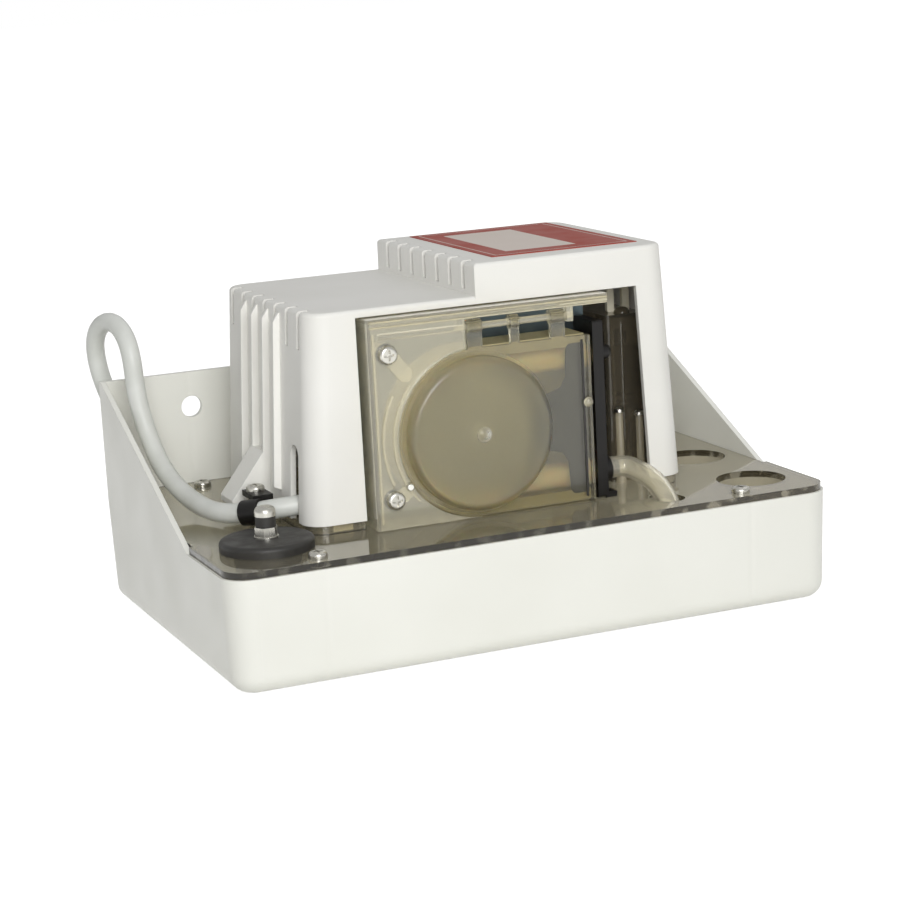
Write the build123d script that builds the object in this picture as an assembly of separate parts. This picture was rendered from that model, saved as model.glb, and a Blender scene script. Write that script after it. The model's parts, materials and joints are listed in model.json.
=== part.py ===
"""Tank condensate pump: a wall-hung tank, a clear deck and a hooded peristaltic pump.

Millimetres.  X runs to the right along the tank, Y to the wall behind, Z up.
The origin is the middle of the footprint on the standing surface.
"""
from build123d import *
from math import acos, cos, hypot, pi, radians, sin, tan
import os

os.makedirs("parts", exist_ok=True)

# ---------------------------------------------------------------- sizes
# Tank
TANK_LENGTH = 280.0
TANK_DEPTH = 181.0
RIM_HEIGHT = 49.2
PANEL_HEIGHT = 104.5
TANK_WALL = 2.5
PANEL_WALL = 3.0
TANK_DRAFT = 1.75
TANK_CORNER = 12.0
TANK_BOTTOM_RADIUS = 8.0
GUSSET_RUN = 124.5            # how far the side gussets come forward from the wall face
WALL_HOLE_SPACING = 194.8
WALL_HOLE_HEIGHT = 88.1
WALL_HOLE_RADIUS = 5.0

# Deck, the clear lid of the tank
DECK_THICKNESS = 3.0
DECK_MARGIN = 1.0
DECK_GAP = 0.4
PLINTH_HEIGHT = 4.0
PLINTH_WIDTH = 4.5
DECK_SCREW_SPREAD = 197.0
DECK_SCREW_FRONT = -81.5
DECK_SCREW_BACK = 76.0
INLET_X = 115.6
INLET_FRONT_Y = -60.5
INLET_PITCH = 55.0
INLET_RADIUS = 15.5
INLET_COLLAR_WALL = 1.6
INLET_COLLAR_DROP = 5.0
SPARE_INLET_X = -111.0
SPARE_INLET_Y = -54.0

# Pan-head screws
SCREW_HEAD_RADIUS = 4.0
SCREW_HEAD_HEIGHT = 2.6
SCREW_SHANK_RADIUS = 1.9
SCREW_HOLE_CLEARANCE = 0.3
SCREW_RECESS = 1.4
DECK_SCREW_LENGTH = 12.0

# Hood
HOOD_CENTRE_X = -0.9
HOOD_LENGTH = 179.2
HOOD_FRONT = -50.0
HOOD_BACK = 65.5
HOOD_LOW_TOP = 146.6
HOOD_HIGH_TOP = 160.5
HOOD_STEP_X = -9.5
HOOD_SIDE_DRAFT = 3.3
HOOD_BACK_DRAFT = 1.5
HOOD_WALL = 2.5
HOOD_CORNER = 10.0
HOOD_EDGE = 1.8
HOOD_SEAT_GAP = 0.3
WINDOW_LEFT = -64.5
WINDOW_RIGHT_TOP = 67.0
WINDOW_RIGHT_BOTTOM = 71.2
WINDOW_TOP = 143.2
VENT_PITCH = 14.6
VENT_FRONT_Y = -37.5
VENT_COUNT = 7
VENT_WIDTH = 3.4
LOW_VENT_DROP = 16.0
HIGH_VENT_DROP = 12.0
VENT_TOP_REACH = 5.0
RIB_THICKNESS = 2.2
RIB_DEPTH = 3.2
SCOOP_REACH = 17.5
SCOOP_TOP = 81.0
SCOOP_BOTTOM = 58.5
CORD_SLOT_WIDTH = 10.0
CORD_SLOT_Y = -31.5
CORD_SLOT_TOP = 89.0
HOOD_LUG_X = 60.0
HOOD_LUG_REACH = 11.0

# Peristaltic head, seen through a frosted cover
PUMP_X = -14.3
PUMP_Z = 89.4
HEAD_FRONT = -57.5
HEAD_LEFT = -62.5
HEAD_RIGHT = 39.5
HEAD_TOP = 142.8
HEAD_WALL = 2.0
COVER_THICKNESS = 2.5
COVER_GAP = 0.5
COVER_RADIUS = 36.3
BOSS_RADIUS = 33.2
BOSS_RISE = 6.0
BOSS_ROUNDING = 3.0
BOSS_WALL = 2.0
TRACK_RADIUS = 31.7
TRACK_WALL = 5.0
TRACK_BACK = 2.0
HEAD_DEPTH = 20.5
PUMP_TUBE_RADIUS = 5.5
PUMP_TUBE_BORE = 3.2
TUBE_SQUEEZED = 4.4
TUBE_SQUEEZED_WIDTH = 14.4
TUBE_SEAT = 0.05
ROLLER_COUNT = 3
ROLLER_RADIUS = 6.5
ROLLER_CLEARANCE = 0.2
ROLLER_LENGTH = 11.0
ROLLER_PIN_RADIUS = 1.5
ROTOR_PLATE = 1.5
ROTOR_DISC_RADIUS = 26.0
ROTOR_ARM_RADIUS = 24.0
ROTOR_HUB_RADIUS = 8.0
END_PLAY = 0.3
RUNNING_GAP = 0.05
HINGE_Z = 135.0
HINGE_Y = -55.4
HINGE_ROD_RADIUS = 1.5
KNUCKLE_RADIUS = 3.1
KNUCKLE_WIDTHS = (7.0, 4.0, 6.5)
KNUCKLE_PLACES = (-14.0, 4.8, 25.0)
HINGE_EAR = 3.0
HINGE_EAR_GAP = 1.0
RAIL_BOTTOM = 138.6
RAIL_RIGHT = 49.0
HEAD_SCREW_X = -54.0
HEAD_SCREW_HIGH = 127.5
HEAD_SCREW_LOW = 65.1
CATCH_Z = 96.5
CATCH_RADIUS = 2.2

# Connector block and hoses
BLOCK_LEFT = 42.0
BLOCK_THICKNESS = 5.0
BLOCK_BOTTOM = 52.6
BLOCK_TOP = 131.0
COLLAR_RADIUS = 5.8
COLLAR_LENGTH = 4.4
ELBOW_RADIUS = 3.6
ELBOW_GAP = 0.4
HOSE_RADIUS = 4.75
HOSE_BORE = 3.2
HOSE_HOLE_GAP = 1.8
BARB_LENGTH = 9.0
STRAINER_RADIUS = 6.0
STRAINER_HEIGHT = 9.0
STRAINER_LIFT = 2.5
DISCHARGE_RADIUS = 4.0
DISCHARGE_BORE = 2.6
OUTLET_Y = 75.0
OUTLET_TOP = 138.0
OUTLET_RADIUS = 4.0
OUTLET_STOP_RADIUS = 5.5
OUTLET_STOP_HEIGHT = 6.0

# Mounting plate and gearbox
PLATE_THICKNESS = 1.5
PLATE_FOOT = 12.0
CASE_WALL = 2.5
CASE_DEPTH = 19.0
CASE_RADIUS = 36.4
GEARBOX_COVER = 2.5
MOTOR_X = 20.0
MOTOR_Z = 106.0
PRESSURE_ANGLE = 25.0
ADDENDUM = 0.8
DEDENDUM = 1.05
BACKLASH = 0.16
OUTPUT_MODULE = 1.0
OUTPUT_TEETH = 48
MIDDLE_PINION_TEETH = 12
MOTOR_MODULE = 0.8
MIDDLE_TEETH = 50
MOTOR_PINION_TEETH = 10
OUTPUT_GEAR_WIDTH = 6.0
MIDDLE_GEAR_WIDTH = 4.0
OUTPUT_SHAFT_RADIUS = 4.0
MIDDLE_AXLE_RADIUS = 2.0
MOTOR_SHAFT_RADIUS = 2.5
BUSH_WALL = 2.0
BUSH_LENGTH = 5.0

# Motor
STACK_WIDTH = 48.0
STACK_BOTTOM = 87.0
STACK_TOP = 147.0
STACK_DEPTH = 18.0
STACK_STANDOFF = 10.0
MOTOR_ROTOR_RADIUS = 13.0
AIR_GAP = 0.4
YOKE = 9.0
COIL_BUILD = 5.5
COIL_LENGTH = 28.0
COIL_GAP = 0.3
BRACKET_THICKNESS = 2.0
BRACKET_STANDOFF = 7.0
MOTOR_SCREW_RADIUS = 1.9
FAN_RADIUS = 21.0
FAN_DEPTH = 9.0
FAN_BLADES = 7

# Float and switches
FLOAT_X = 70.5
FLOAT_Y = 10.0
FLOAT_RADIUS = 19.0
FLOAT_HEIGHT = 20.0
FLOAT_BOTTOM = 7.0
FLOAT_TRAVEL = 10.0
ROD_RADIUS = 1.5
SWITCH_BOX_LEFT = 61.0
SWITCH_BOX_RIGHT = 80.0
SWITCH_BOX_FRONT = -30.5
SWITCH_BOX_BACK = 18.0
SWITCH_BOX_TOP = 128.0
SWITCH_BOX_WALL = 1.5
POST_HEIGHT = 30.0
POST_RADIUS = 2.0
SWITCH_LENGTH = 20.0
SWITCH_HEIGHT = 10.2
SWITCH_THICKNESS = 6.4
LEVER_PIVOT_Y = -22.0
LEVER_THICKNESS = 1.6
PLUNGER_ARM = 4.0
PLUNGER_RADIUS = 1.2
LEVER_GAP = 0.3
LEVER_OVERHANG = 5.0
SWITCH_LIFT = 4.6

# Expansion plug of the spare inlet
PLUG_FLANGE_RADIUS = 20.0
PLUG_FLANGE_HEIGHT = 4.5
PLUG_BODY_DROP = 11.0
PLUG_BOLT_RADIUS = 2.5
PLUG_NUT_WIDTH = 8.6
PLUG_NUT_HEIGHT = 4.0
PLUG_SLEEVE_RADIUS = 4.3
PLUG_SLEEVE_HEIGHT = 4.6
PLUG_DOME_HEIGHT = 4.2

# Mains cord
CORD_RADIUS = 4.3
COIL_RADIUS = 46.0
COIL_TURNS = 3.5
COIL_CENTRE_X = 62.0
COIL_CENTRE_Y = 147.0
CLAMP_WALL = 1.2
CLAMP_WIDTH = 9.0
CLAMP_SCREW_X = -100.5
CLAMP_SCREW_Y = -10.5
CLAMP_EAR_Z = 64.5
MAINS_PLUG_RADIUS = 19.0
MAINS_PLUG_LENGTH = 34.0
MAINS_GRIP = 24.0
MAINS_PIN_PITCH = 19.0
MAINS_PIN_RADIUS = 2.4
MAINS_PIN_LENGTH = 19.0

# ---------------------------------------------------------------- places worked out
DECK_BOTTOM = RIM_HEIGHT
DECK_TOP = DECK_BOTTOM + DECK_THICKNESS
WALL_FACE = TANK_DEPTH / 2
FRONT_FACE = -TANK_DEPTH / 2
PANEL_FRONT = WALL_FACE - PANEL_WALL
GUSSET_FRONT = WALL_FACE - GUSSET_RUN
HOOD_BOTTOM = DECK_TOP + PLINTH_HEIGHT
COVER_BACK = HEAD_FRONT + COVER_THICKNESS
HEAD_BACK = HEAD_FRONT + HEAD_DEPTH
TRACK_FRONT = COVER_BACK + COVER_GAP
TRACK_FLOOR = HEAD_BACK - TRACK_BACK
TUBE_Y = (COVER_BACK + TRACK_FLOOR) / 2
LEG_OFFSET = TRACK_RADIUS - PUMP_TUBE_RADIUS - TUBE_SEAT
ROLLER_ORBIT = TRACK_RADIUS - TUBE_SQUEEZED - ROLLER_CLEARANCE - ROLLER_RADIUS
PLATE_BACK = HEAD_BACK + PLATE_THICKNESS
CASE_BACK = PLATE_BACK + CASE_DEPTH
GEARBOX_BACK = CASE_BACK + GEARBOX_COVER
OUTPUT_GEAR_FRONT = PLATE_BACK + CASE_WALL + 1.5
MIDDLE_GEAR_FRONT = OUTPUT_GEAR_FRONT + OUTPUT_GEAR_WIDTH + 2.0
STACK_FRONT = GEARBOX_BACK + STACK_STANDOFF
STACK_BACK = STACK_FRONT + STACK_DEPTH
BRACKET_FRONT = STACK_BACK + BRACKET_STANDOFF
BRACKET_BACK = BRACKET_FRONT + BRACKET_THICKNESS
BLOCK_RIGHT = BLOCK_LEFT + BLOCK_THICKNESS
UPPER_PORT_Z = PUMP_Z + LEG_OFFSET
LOWER_PORT_Z = PUMP_Z - LEG_OFFSET
DISCHARGE_X = BLOCK_RIGHT + ELBOW_RADIUS + ELBOW_GAP
FLANGE_TOP = HEAD_TOP - HEAD_WALL
LEFT_EAR_X = KNUCKLE_PLACES[0] - KNUCKLE_WIDTHS[0] / 2 - HINGE_EAR_GAP - HINGE_EAR
RIGHT_EAR_X = KNUCKLE_PLACES[-1] + KNUCKLE_WIDTHS[-1] / 2 + HINGE_EAR_GAP

OUTPUT_CENTRES = OUTPUT_MODULE * (OUTPUT_TEETH + MIDDLE_PINION_TEETH) / 2
MOTOR_CENTRES = MOTOR_MODULE * (MIDDLE_TEETH + MOTOR_PINION_TEETH) / 2


def middle_axis():
    """Where the middle gear sits: below the line from the output shaft to the motor."""
    dx, dz = MOTOR_X - PUMP_X, MOTOR_Z - PUMP_Z
    reach = hypot(dx, dz)
    along = (OUTPUT_CENTRES ** 2 - MOTOR_CENTRES ** 2 + reach ** 2) / (2 * reach)
    below = (OUTPUT_CENTRES ** 2 - along ** 2) ** 0.5
    ux, uz = dx / reach, dz / reach
    return PUMP_X + along * ux + below * uz, PUMP_Z + along * uz - below * ux


MIDDLE_X, MIDDLE_Z = middle_axis()


# ---------------------------------------------------------------- helpers
def block(x0, x1, y0, y1, z0, z1):
    """A box between two corners."""
    centre = Pos((x0 + x1) / 2, (y0 + y1) / 2, (z0 + z1) / 2)
    return centre * Box(x1 - x0, y1 - y0, z1 - z0)


def rod_x(y, z, radius, x0, x1):
    """A round bar along X."""
    return Pos((x0 + x1) / 2, y, z) * Rot(0, 90, 0) * Cylinder(radius, x1 - x0)


def rod_y(x, z, radius, y0, y1):
    """A round bar along Y."""
    return Pos(x, (y0 + y1) / 2, z) * Rot(90, 0, 0) * Cylinder(radius, y1 - y0)


def rod_z(x, y, radius, z0, z1):
    """A round bar along Z."""
    return Pos(x, y, (z0 + z1) / 2) * Cylinder(radius, z1 - z0)


def prism_y(profile, y0, y1):
    """A front-view profile, X across and Z up, as a solid from y0 back to y1."""
    return extrude(Plane.XZ.offset(-y1) * profile, amount=y1 - y0, dir=(0, -1, 0))


def at(profile, x, z):
    """Move a front-view profile."""
    return Pos(x, z) * profile


def span(x0, x1, z0, z1):
    """A rectangle in the front view."""
    return at(Rectangle(x1 - x0, z1 - z0), (x0 + x1) / 2, (z0 + z1) / 2)


def pan_screw(length, shank=SCREW_SHANK_RADIUS, head=SCREW_HEAD_RADIUS, rise=SCREW_HEAD_HEIGHT):
    """A cross-recess pan-head screw standing on Z, seated at z = 0."""
    crown = Pos(0, 0, rise / 2) * Cylinder(head, rise)
    crown = fillet(crown.edges().group_by(Axis.Z)[-1], rise * 0.55)
    recess_depth = SCREW_RECESS
    for width, depth in ((head * 1.15, head * 0.28), (head * 0.28, head * 1.15)):
        crown -= Pos(0, 0, rise - recess_depth / 2) * Box(width, depth, recess_depth)
    return crown + Pos(0, 0, -length / 2) * Cylinder(shank, length)


def inv(angle):
    """The involute function."""
    return tan(angle) - angle


def gear_outline(teeth, module, phase):
    """An involute gear in the front view, with one tooth centred at phase, in degrees."""
    pitch = module * teeth / 2
    base = pitch * cos(radians(PRESSURE_ANGLE))
    tip = pitch + ADDENDUM * module
    root = pitch - DEDENDUM * module
    half_pitch_angle = pi / (2 * teeth) - BACKLASH * module / (2 * pitch)

    def half_angle(radius):
        flank = max(radius, base)
        return half_pitch_angle + inv(radians(PRESSURE_ANGLE)) - inv(acos(base / flank))

    radii = [root - 0.3 * module, max(base, root + 0.1 * module), pitch, tip]
    right = [(r, -half_angle(r)) for r in radii]
    left = [(r, -a) for r, a in reversed(right)]
    tooth = Polygon(*[(r * cos(a), r * sin(a)) for r, a in right + left], align=None)
    return Rot(0, 0, phase) * (Circle(root) + PolarLocations(0, teeth) * tooth)


def angle_to(x0, z0, x1, z1):
    """The front-view direction from one axis to another, in degrees."""
    return Vector(1, 0, 0).get_signed_angle(Vector(x1 - x0, z1 - z0, 0), Vector(0, 0, 1))


def cord_path(points):
    """Straight runs joined by arcs, each as large as its two runs allow."""
    corners = [Vector(*p) for p in points]
    radii = []
    for before, here, after in zip(corners, corners[1:], corners[2:]):
        turn = radians((here - before).get_angle(after - here))
        shorter = min((here - before).length, (after - here).length)
        radii.append(0.45 * shorter / tan(turn / 2))
    return FilletPolyline(*corners, radius=radii), radii


def tube_along(path, radius, bore=0.0):
    """A round tube swept along a path."""
    section = Circle(radius)
    if bore:
        section -= Circle(bore)
    start = Plane(origin=path @ 0, z_dir=path % 0)
    return sweep(start * section, path=path)


# ---------------------------------------------------------------- tank
def tank_volume(inset, floor):
    """The drafted tub as a solid, moved in from the outer face by inset."""
    beyond_back = 20.0
    length = TANK_LENGTH - 2 * inset
    front = FRONT_FACE + inset
    plan = Pos(0, (front + WALL_FACE + beyond_back) / 2) * RectangleRounded(
        length, WALL_FACE + beyond_back - front, TANK_CORNER - inset)
    tub = extrude(Plane.XY.offset(RIM_HEIGHT) * plan, amount=-(RIM_HEIGHT - floor), taper=TANK_DRAFT)
    radius = TANK_BOTTOM_RADIUS - inset
    tub = fillet(tub.edges().group_by(Axis.Z)[0], radius)
    back = WALL_FACE - (PANEL_WALL if inset else 0)
    return tub & block(-TANK_LENGTH, TANK_LENGTH, -TANK_DEPTH, back, -1, RIM_HEIGHT + 1)


def deck_screw_places():
    """The four screws that hold the deck down."""
    half = DECK_SCREW_SPREAD / 2
    return [(x, y) for x in (-half, half) for y in (DECK_SCREW_FRONT, DECK_SCREW_BACK)]


def make_tank():
    half = TANK_LENGTH / 2
    tub = tank_volume(0, 0)
    side = Polygon((GUSSET_FRONT, RIM_HEIGHT), (WALL_FACE, RIM_HEIGHT), (WALL_FACE, PANEL_HEIGHT),
                   (PANEL_FRONT, PANEL_HEIGHT), align=None)
    upper = extrude(Plane.YZ.offset(-half) * side, amount=TANK_LENGTH)
    upper -= block(-half + TANK_WALL, half - TANK_WALL, -TANK_DEPTH, PANEL_FRONT,
                   RIM_HEIGHT - 1, PANEL_HEIGHT + 1)
    tank = tub + upper
    tank -= tank_volume(TANK_WALL, TANK_WALL)
    boss_radius = SCREW_SHANK_RADIUS + 2.6
    for x, y in deck_screw_places():
        wall = FRONT_FACE + TANK_WALL if y < 0 else PANEL_FRONT
        boss = rod_z(x, y, boss_radius, TANK_WALL - 1, RIM_HEIGHT)
        web = block(x - 1.2, x + 1.2, min(y, wall), max(y, wall), TANK_WALL - 1, RIM_HEIGHT - 2)
        tank += boss + (web & tub)
        tank -= rod_z(x, y, SCREW_SHANK_RADIUS, RIM_HEIGHT - DECK_SCREW_LENGTH, RIM_HEIGHT + 1)
    for x in (-WALL_HOLE_SPACING / 2, WALL_HOLE_SPACING / 2):
        tank -= rod_y(x, WALL_HOLE_HEIGHT, WALL_HOLE_RADIUS, PANEL_FRONT - 1, WALL_FACE + 1)
    return tank


# ---------------------------------------------------------------- hood outline
def hood_half(z):
    """Half the hood's length at a height, after its side draft."""
    return HOOD_LENGTH / 2 - (z - HOOD_BOTTOM) * tan(radians(HOOD_SIDE_DRAFT))


def hood_back(z):
    return HOOD_BACK - (z - HOOD_BOTTOM) * tan(radians(HOOD_BACK_DRAFT))


def hood_section(z, inset):
    """The hood's plan at a height, moved in by inset."""
    half = hood_half(z) - inset
    y0, y1 = HOOD_FRONT + inset, hood_back(z) - inset
    plan = RectangleRounded(2 * half, y1 - y0, HOOD_CORNER - inset)
    return Plane.XY.offset(z) * (Pos(HOOD_CENTRE_X, (y0 + y1) / 2) * plan)


def hood_volume(inset, bottom):
    """One drafted loft to the high top, with the left part cut down to the low top."""
    high = HOOD_HIGH_TOP - inset
    low = HOOD_LOW_TOP - inset
    volume = loft([hood_section(bottom, inset), hood_section(high, inset)])
    return volume - block(-HOOD_LENGTH, HOOD_STEP_X + inset, HOOD_FRONT - 1, HOOD_BACK + 1, low, high + 1)


def vent_places():
    return [VENT_FRONT_Y + VENT_PITCH * i for i in range(VENT_COUNT)]


def rib_places():
    """The proud ribs stand just in front of vents two to five, counted from the back."""
    return [VENT_FRONT_Y + VENT_PITCH * i - VENT_PITCH / 3 for i in range(2, 6)]


def hood_left(z):
    return HOOD_CENTRE_X - hood_half(z)


def make_rib(y, z_bottom):
    """An upright rib on the left face, hooked over the top edge."""
    top = HOOD_LOW_TOP - 3.0
    side = Polygon((hood_left(z_bottom) + 1, z_bottom), (hood_left(z_bottom) - RIB_DEPTH, z_bottom + 2),
                   (hood_left(top) - RIB_DEPTH, top - 4), (hood_left(top) - 0.5, top),
                   (hood_left(top) + 1, top), align=None)
    return prism_y(side, y - RIB_THICKNESS / 2, y + RIB_THICKNESS / 2)


def make_scoop(y_front, y_back):
    """The flared finger scoop between two ribs: a sloping wall with two cheeks, open below."""
    inner = hood_left(SCOOP_BOTTOM) + 1
    outer_top = hood_left(SCOOP_TOP) - RIB_DEPTH
    outer_bottom = hood_left(SCOOP_BOTTOM) - SCOOP_REACH
    outside = Polygon((inner, SCOOP_TOP), (outer_top, SCOOP_TOP), (outer_bottom, SCOOP_BOTTOM + 2.5),
                      (outer_bottom, SCOOP_BOTTOM), (inner, SCOOP_BOTTOM), align=None)
    hollow = Polygon((inner - 3.2, SCOOP_TOP - 9), (outer_bottom + RIB_THICKNESS, SCOOP_BOTTOM - 1),
                     (inner - 3.2, SCOOP_BOTTOM - 1), align=None)
    half = RIB_THICKNESS / 2
    scoop = prism_y(outside, y_front - half, y_back + half)
    return scoop - prism_y(hollow, y_front + half, y_back - half)


def make_hood():
    hood = hood_volume(0, HOOD_BOTTOM)
    hood = fillet(hood.edges().group_by(Axis.Z)[-1], HOOD_EDGE)
    low_rim = hood.edges().filter_by_position(Axis.Z, HOOD_LOW_TOP - 0.01, HOOD_LOW_TOP + 0.01)
    hood = fillet(low_rim.filter_by(lambda e: (e @ 0.5).X < HOOD_STEP_X - 0.5), HOOD_EDGE)
    ribs = rib_places()
    for place, foot in zip(ribs, (66.0, 62.0, 62.0, 70.0)):
        hood += make_rib(place, foot)
    hood += make_scoop(ribs[1], ribs[2])
    hood -= hood_volume(HOOD_WALL, HOOD_BOTTOM - 1)
    # window for the pump head, open to the bottom edge
    window = Polygon((WINDOW_LEFT, HOOD_BOTTOM - 2), (WINDOW_RIGHT_BOTTOM, HOOD_BOTTOM - 2),
                     (WINDOW_RIGHT_TOP, WINDOW_TOP), (WINDOW_LEFT, WINDOW_TOP), align=None)
    hood -= prism_y(window, HOOD_FRONT - 5, HOOD_FRONT + HOOD_WALL + 4)
    # vents wrap over the top edge of each block
    for y in vent_places():
        y0, y1 = y - VENT_WIDTH / 2, y + VENT_WIDTH / 2
        left = hood_left(HOOD_LOW_TOP)
        hood -= block(left - 6, left + VENT_TOP_REACH, y0, y1,
                      HOOD_LOW_TOP - LOW_VENT_DROP, HOOD_LOW_TOP + 1)
        hood -= block(HOOD_STEP_X - 1, HOOD_STEP_X + VENT_TOP_REACH, y0, y1,
                      HOOD_HIGH_TOP - HIGH_VENT_DROP, HOOD_HIGH_TOP + 1)
    # cord slot in the left side, outlet hole in the back
    slot_half = CORD_SLOT_WIDTH / 2
    left = hood_left(HOOD_BOTTOM)
    hood -= block(left - 5, left + 10, CORD_SLOT_Y - slot_half, CORD_SLOT_Y + slot_half,
                  HOOD_BOTTOM - 1, CORD_SLOT_TOP - slot_half)
    hood -= rod_x(CORD_SLOT_Y, CORD_SLOT_TOP - slot_half, slot_half, left - 5, left + 12)
    hood -= rod_y(DISCHARGE_X, UPPER_PORT_Z, OUTLET_RADIUS + 0.3, HOOD_BACK - 12, HOOD_BACK + 2)
    # two lugs at the back foot take the fixing screws
    for x in (-HOOD_LUG_X, HOOD_LUG_X):
        lug = block(x - 6, x + 6, HOOD_BACK - 2, HOOD_BACK + HOOD_LUG_REACH, HOOD_BOTTOM, HOOD_BOTTOM + 3)
        lug -= rod_z(x, HOOD_BACK + HOOD_LUG_REACH - 5, SCREW_SHANK_RADIUS + SCREW_HOLE_CLEARANCE,
                     HOOD_BOTTOM - 1, HOOD_BOTTOM + 4)
        hood += lug
    return hood


# ---------------------------------------------------------------- deck
STRAINER_TOP = TANK_WALL + STRAINER_LIFT + STRAINER_HEIGHT


def hose_route():
    """The clear suction hose, from the lower port forward and down through the deck."""
    start = BLOCK_RIGHT + COLLAR_LENGTH
    return [(start, TUBE_Y, LOWER_PORT_Z), (start + 9.0, TUBE_Y, LOWER_PORT_Z),
            (start + 15.0, TUBE_Y - 14.0, LOWER_PORT_Z - 4.0), (start + 16.5, TUBE_Y - 27.0, LOWER_PORT_Z - 13.5),
            (start + 17.0, TUBE_Y - 32.0, LOWER_PORT_Z - 29.0), (start + 17.0, TUBE_Y - 32.0, STRAINER_TOP)]


def point_at_height(path, z):
    """The point of a falling path at a height."""
    samples = [path @ (i / 400) for i in range(401)]
    return min(samples, key=lambda p: abs(p.Z - z))


def make_deck():
    half = TANK_LENGTH / 2
    front = FRONT_FACE + DECK_MARGIN
    back = PANEL_FRONT - DECK_GAP
    inner_half = half - TANK_WALL - DECK_GAP
    wide = Pos(0, (front + back) / 2) * RectangleRounded(
        2 * (half - DECK_MARGIN), back - front, TANK_CORNER - DECK_MARGIN)
    for side in (-1, 1):
        notch_x = side * (inner_half + 10)
        notch_y0 = GUSSET_FRONT - DECK_GAP
        wide -= Pos(notch_x, (notch_y0 + back + 20) / 2) * Rectangle(20, back + 20 - notch_y0)
    deck = extrude(Plane.XY.offset(DECK_BOTTOM) * wide, amount=DECK_THICKNESS)
    # plinth that the hood stands on, with a lip inside the hood's wall
    outer = hood_section(HOOD_BOTTOM, 1.2)
    plinth = extrude(outer, amount=-PLINTH_HEIGHT)
    lip = extrude(hood_section(HOOD_BOTTOM, HOOD_WALL + HOOD_SEAT_GAP), amount=1.5)
    core = hood_section(HOOD_BOTTOM, PLINTH_WIDTH)
    ring = (plinth + lip) - extrude(core, amount=5, both=True)
    ring -= block(WINDOW_LEFT - 0.5, WINDOW_RIGHT_BOTTOM + 0.5, HOOD_FRONT - 5, HOOD_FRONT + 12,
                  DECK_TOP, HOOD_BOTTOM + 5)
    ring -= block(-HOOD_LENGTH, -HOOD_LENGTH / 2 + 15, CORD_SLOT_Y - CORD_SLOT_WIDTH / 2,
                  CORD_SLOT_Y + CORD_SLOT_WIDTH / 2, HOOD_BOTTOM, HOOD_BOTTOM + 5)
    deck += ring
    # inlets with short collars below, and the plain spare inlet
    for y in (INLET_FRONT_Y, INLET_FRONT_Y + INLET_PITCH):
        deck += rod_z(INLET_X, y, INLET_RADIUS + INLET_COLLAR_WALL,
                      DECK_BOTTOM - INLET_COLLAR_DROP, DECK_BOTTOM)
        deck -= rod_z(INLET_X, y, INLET_RADIUS, DECK_BOTTOM - INLET_COLLAR_DROP - 1, DECK_TOP + 1)
    deck -= rod_z(SPARE_INLET_X, SPARE_INLET_Y, INLET_RADIUS, DECK_BOTTOM - 1, DECK_TOP + 1)
    hose, _ = cord_path(hose_route())
    ends = [point_at_height(hose, z) for z in (DECK_BOTTOM - 1, DECK_TOP + 1)]
    slot = make_hull([(Pos(p.X, p.Y) * Circle(HOSE_RADIUS + HOSE_HOLE_GAP)).edge() for p in ends])
    deck -= extrude(Plane.XY.offset(DECK_BOTTOM - 1) * slot, amount=DECK_THICKNESS + 2, dir=(0, 0, 1))
    # boss for the cord clamp, pads for the hood screws
    deck += rod_z(CLAMP_SCREW_X, CLAMP_SCREW_Y, 3.6, DECK_TOP, CLAMP_EAR_Z)
    deck -= rod_z(CLAMP_SCREW_X, CLAMP_SCREW_Y, SCREW_SHANK_RADIUS, CLAMP_EAR_Z - 9, CLAMP_EAR_Z + 1)
    for x in (-HOOD_LUG_X, HOOD_LUG_X):
        y = HOOD_BACK + HOOD_LUG_REACH - 5
        deck += rod_z(x, y, 4.5, DECK_TOP, HOOD_BOTTOM)
        deck -= rod_z(x, y, SCREW_SHANK_RADIUS, DECK_BOTTOM - 1, HOOD_BOTTOM + 1)
    for x, y in deck_screw_places():
        deck -= rod_z(x, y, SCREW_SHANK_RADIUS + SCREW_HOLE_CLEARANCE, DECK_BOTTOM - 1, DECK_TOP + 1)
    # guide hole of the float rod
    deck -= rod_z(FLOAT_X, FLOAT_Y, ROD_RADIUS + 3 * RUNNING_GAP, DECK_BOTTOM - 1, DECK_TOP + 1)
    return deck


def make_deck_screws():
    screw = pan_screw(DECK_SCREW_LENGTH)
    return Compound([Pos(x, y, DECK_TOP) * screw for x, y in deck_screw_places()])


def make_hood_screws():
    screw = pan_screw(9.0)
    y = HOOD_BACK + HOOD_LUG_REACH - 5
    return Compound([Pos(x, y, HOOD_BOTTOM + 3) * screw for x in (-HOOD_LUG_X, HOOD_LUG_X)])


def make_top_label():
    """A plain rectangle of foil on the high block's top."""
    z = HOOD_HIGH_TOP
    return block(5, 75, -36.5, 58, z, z + 0.3)


# ---------------------------------------------------------------- pump head
def d_outline(radius, right):
    """Half round on the left, straight sides to the right."""
    return at(Circle(radius), PUMP_X, PUMP_Z) + span(PUMP_X, right, PUMP_Z - radius, PUMP_Z + radius)


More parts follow.
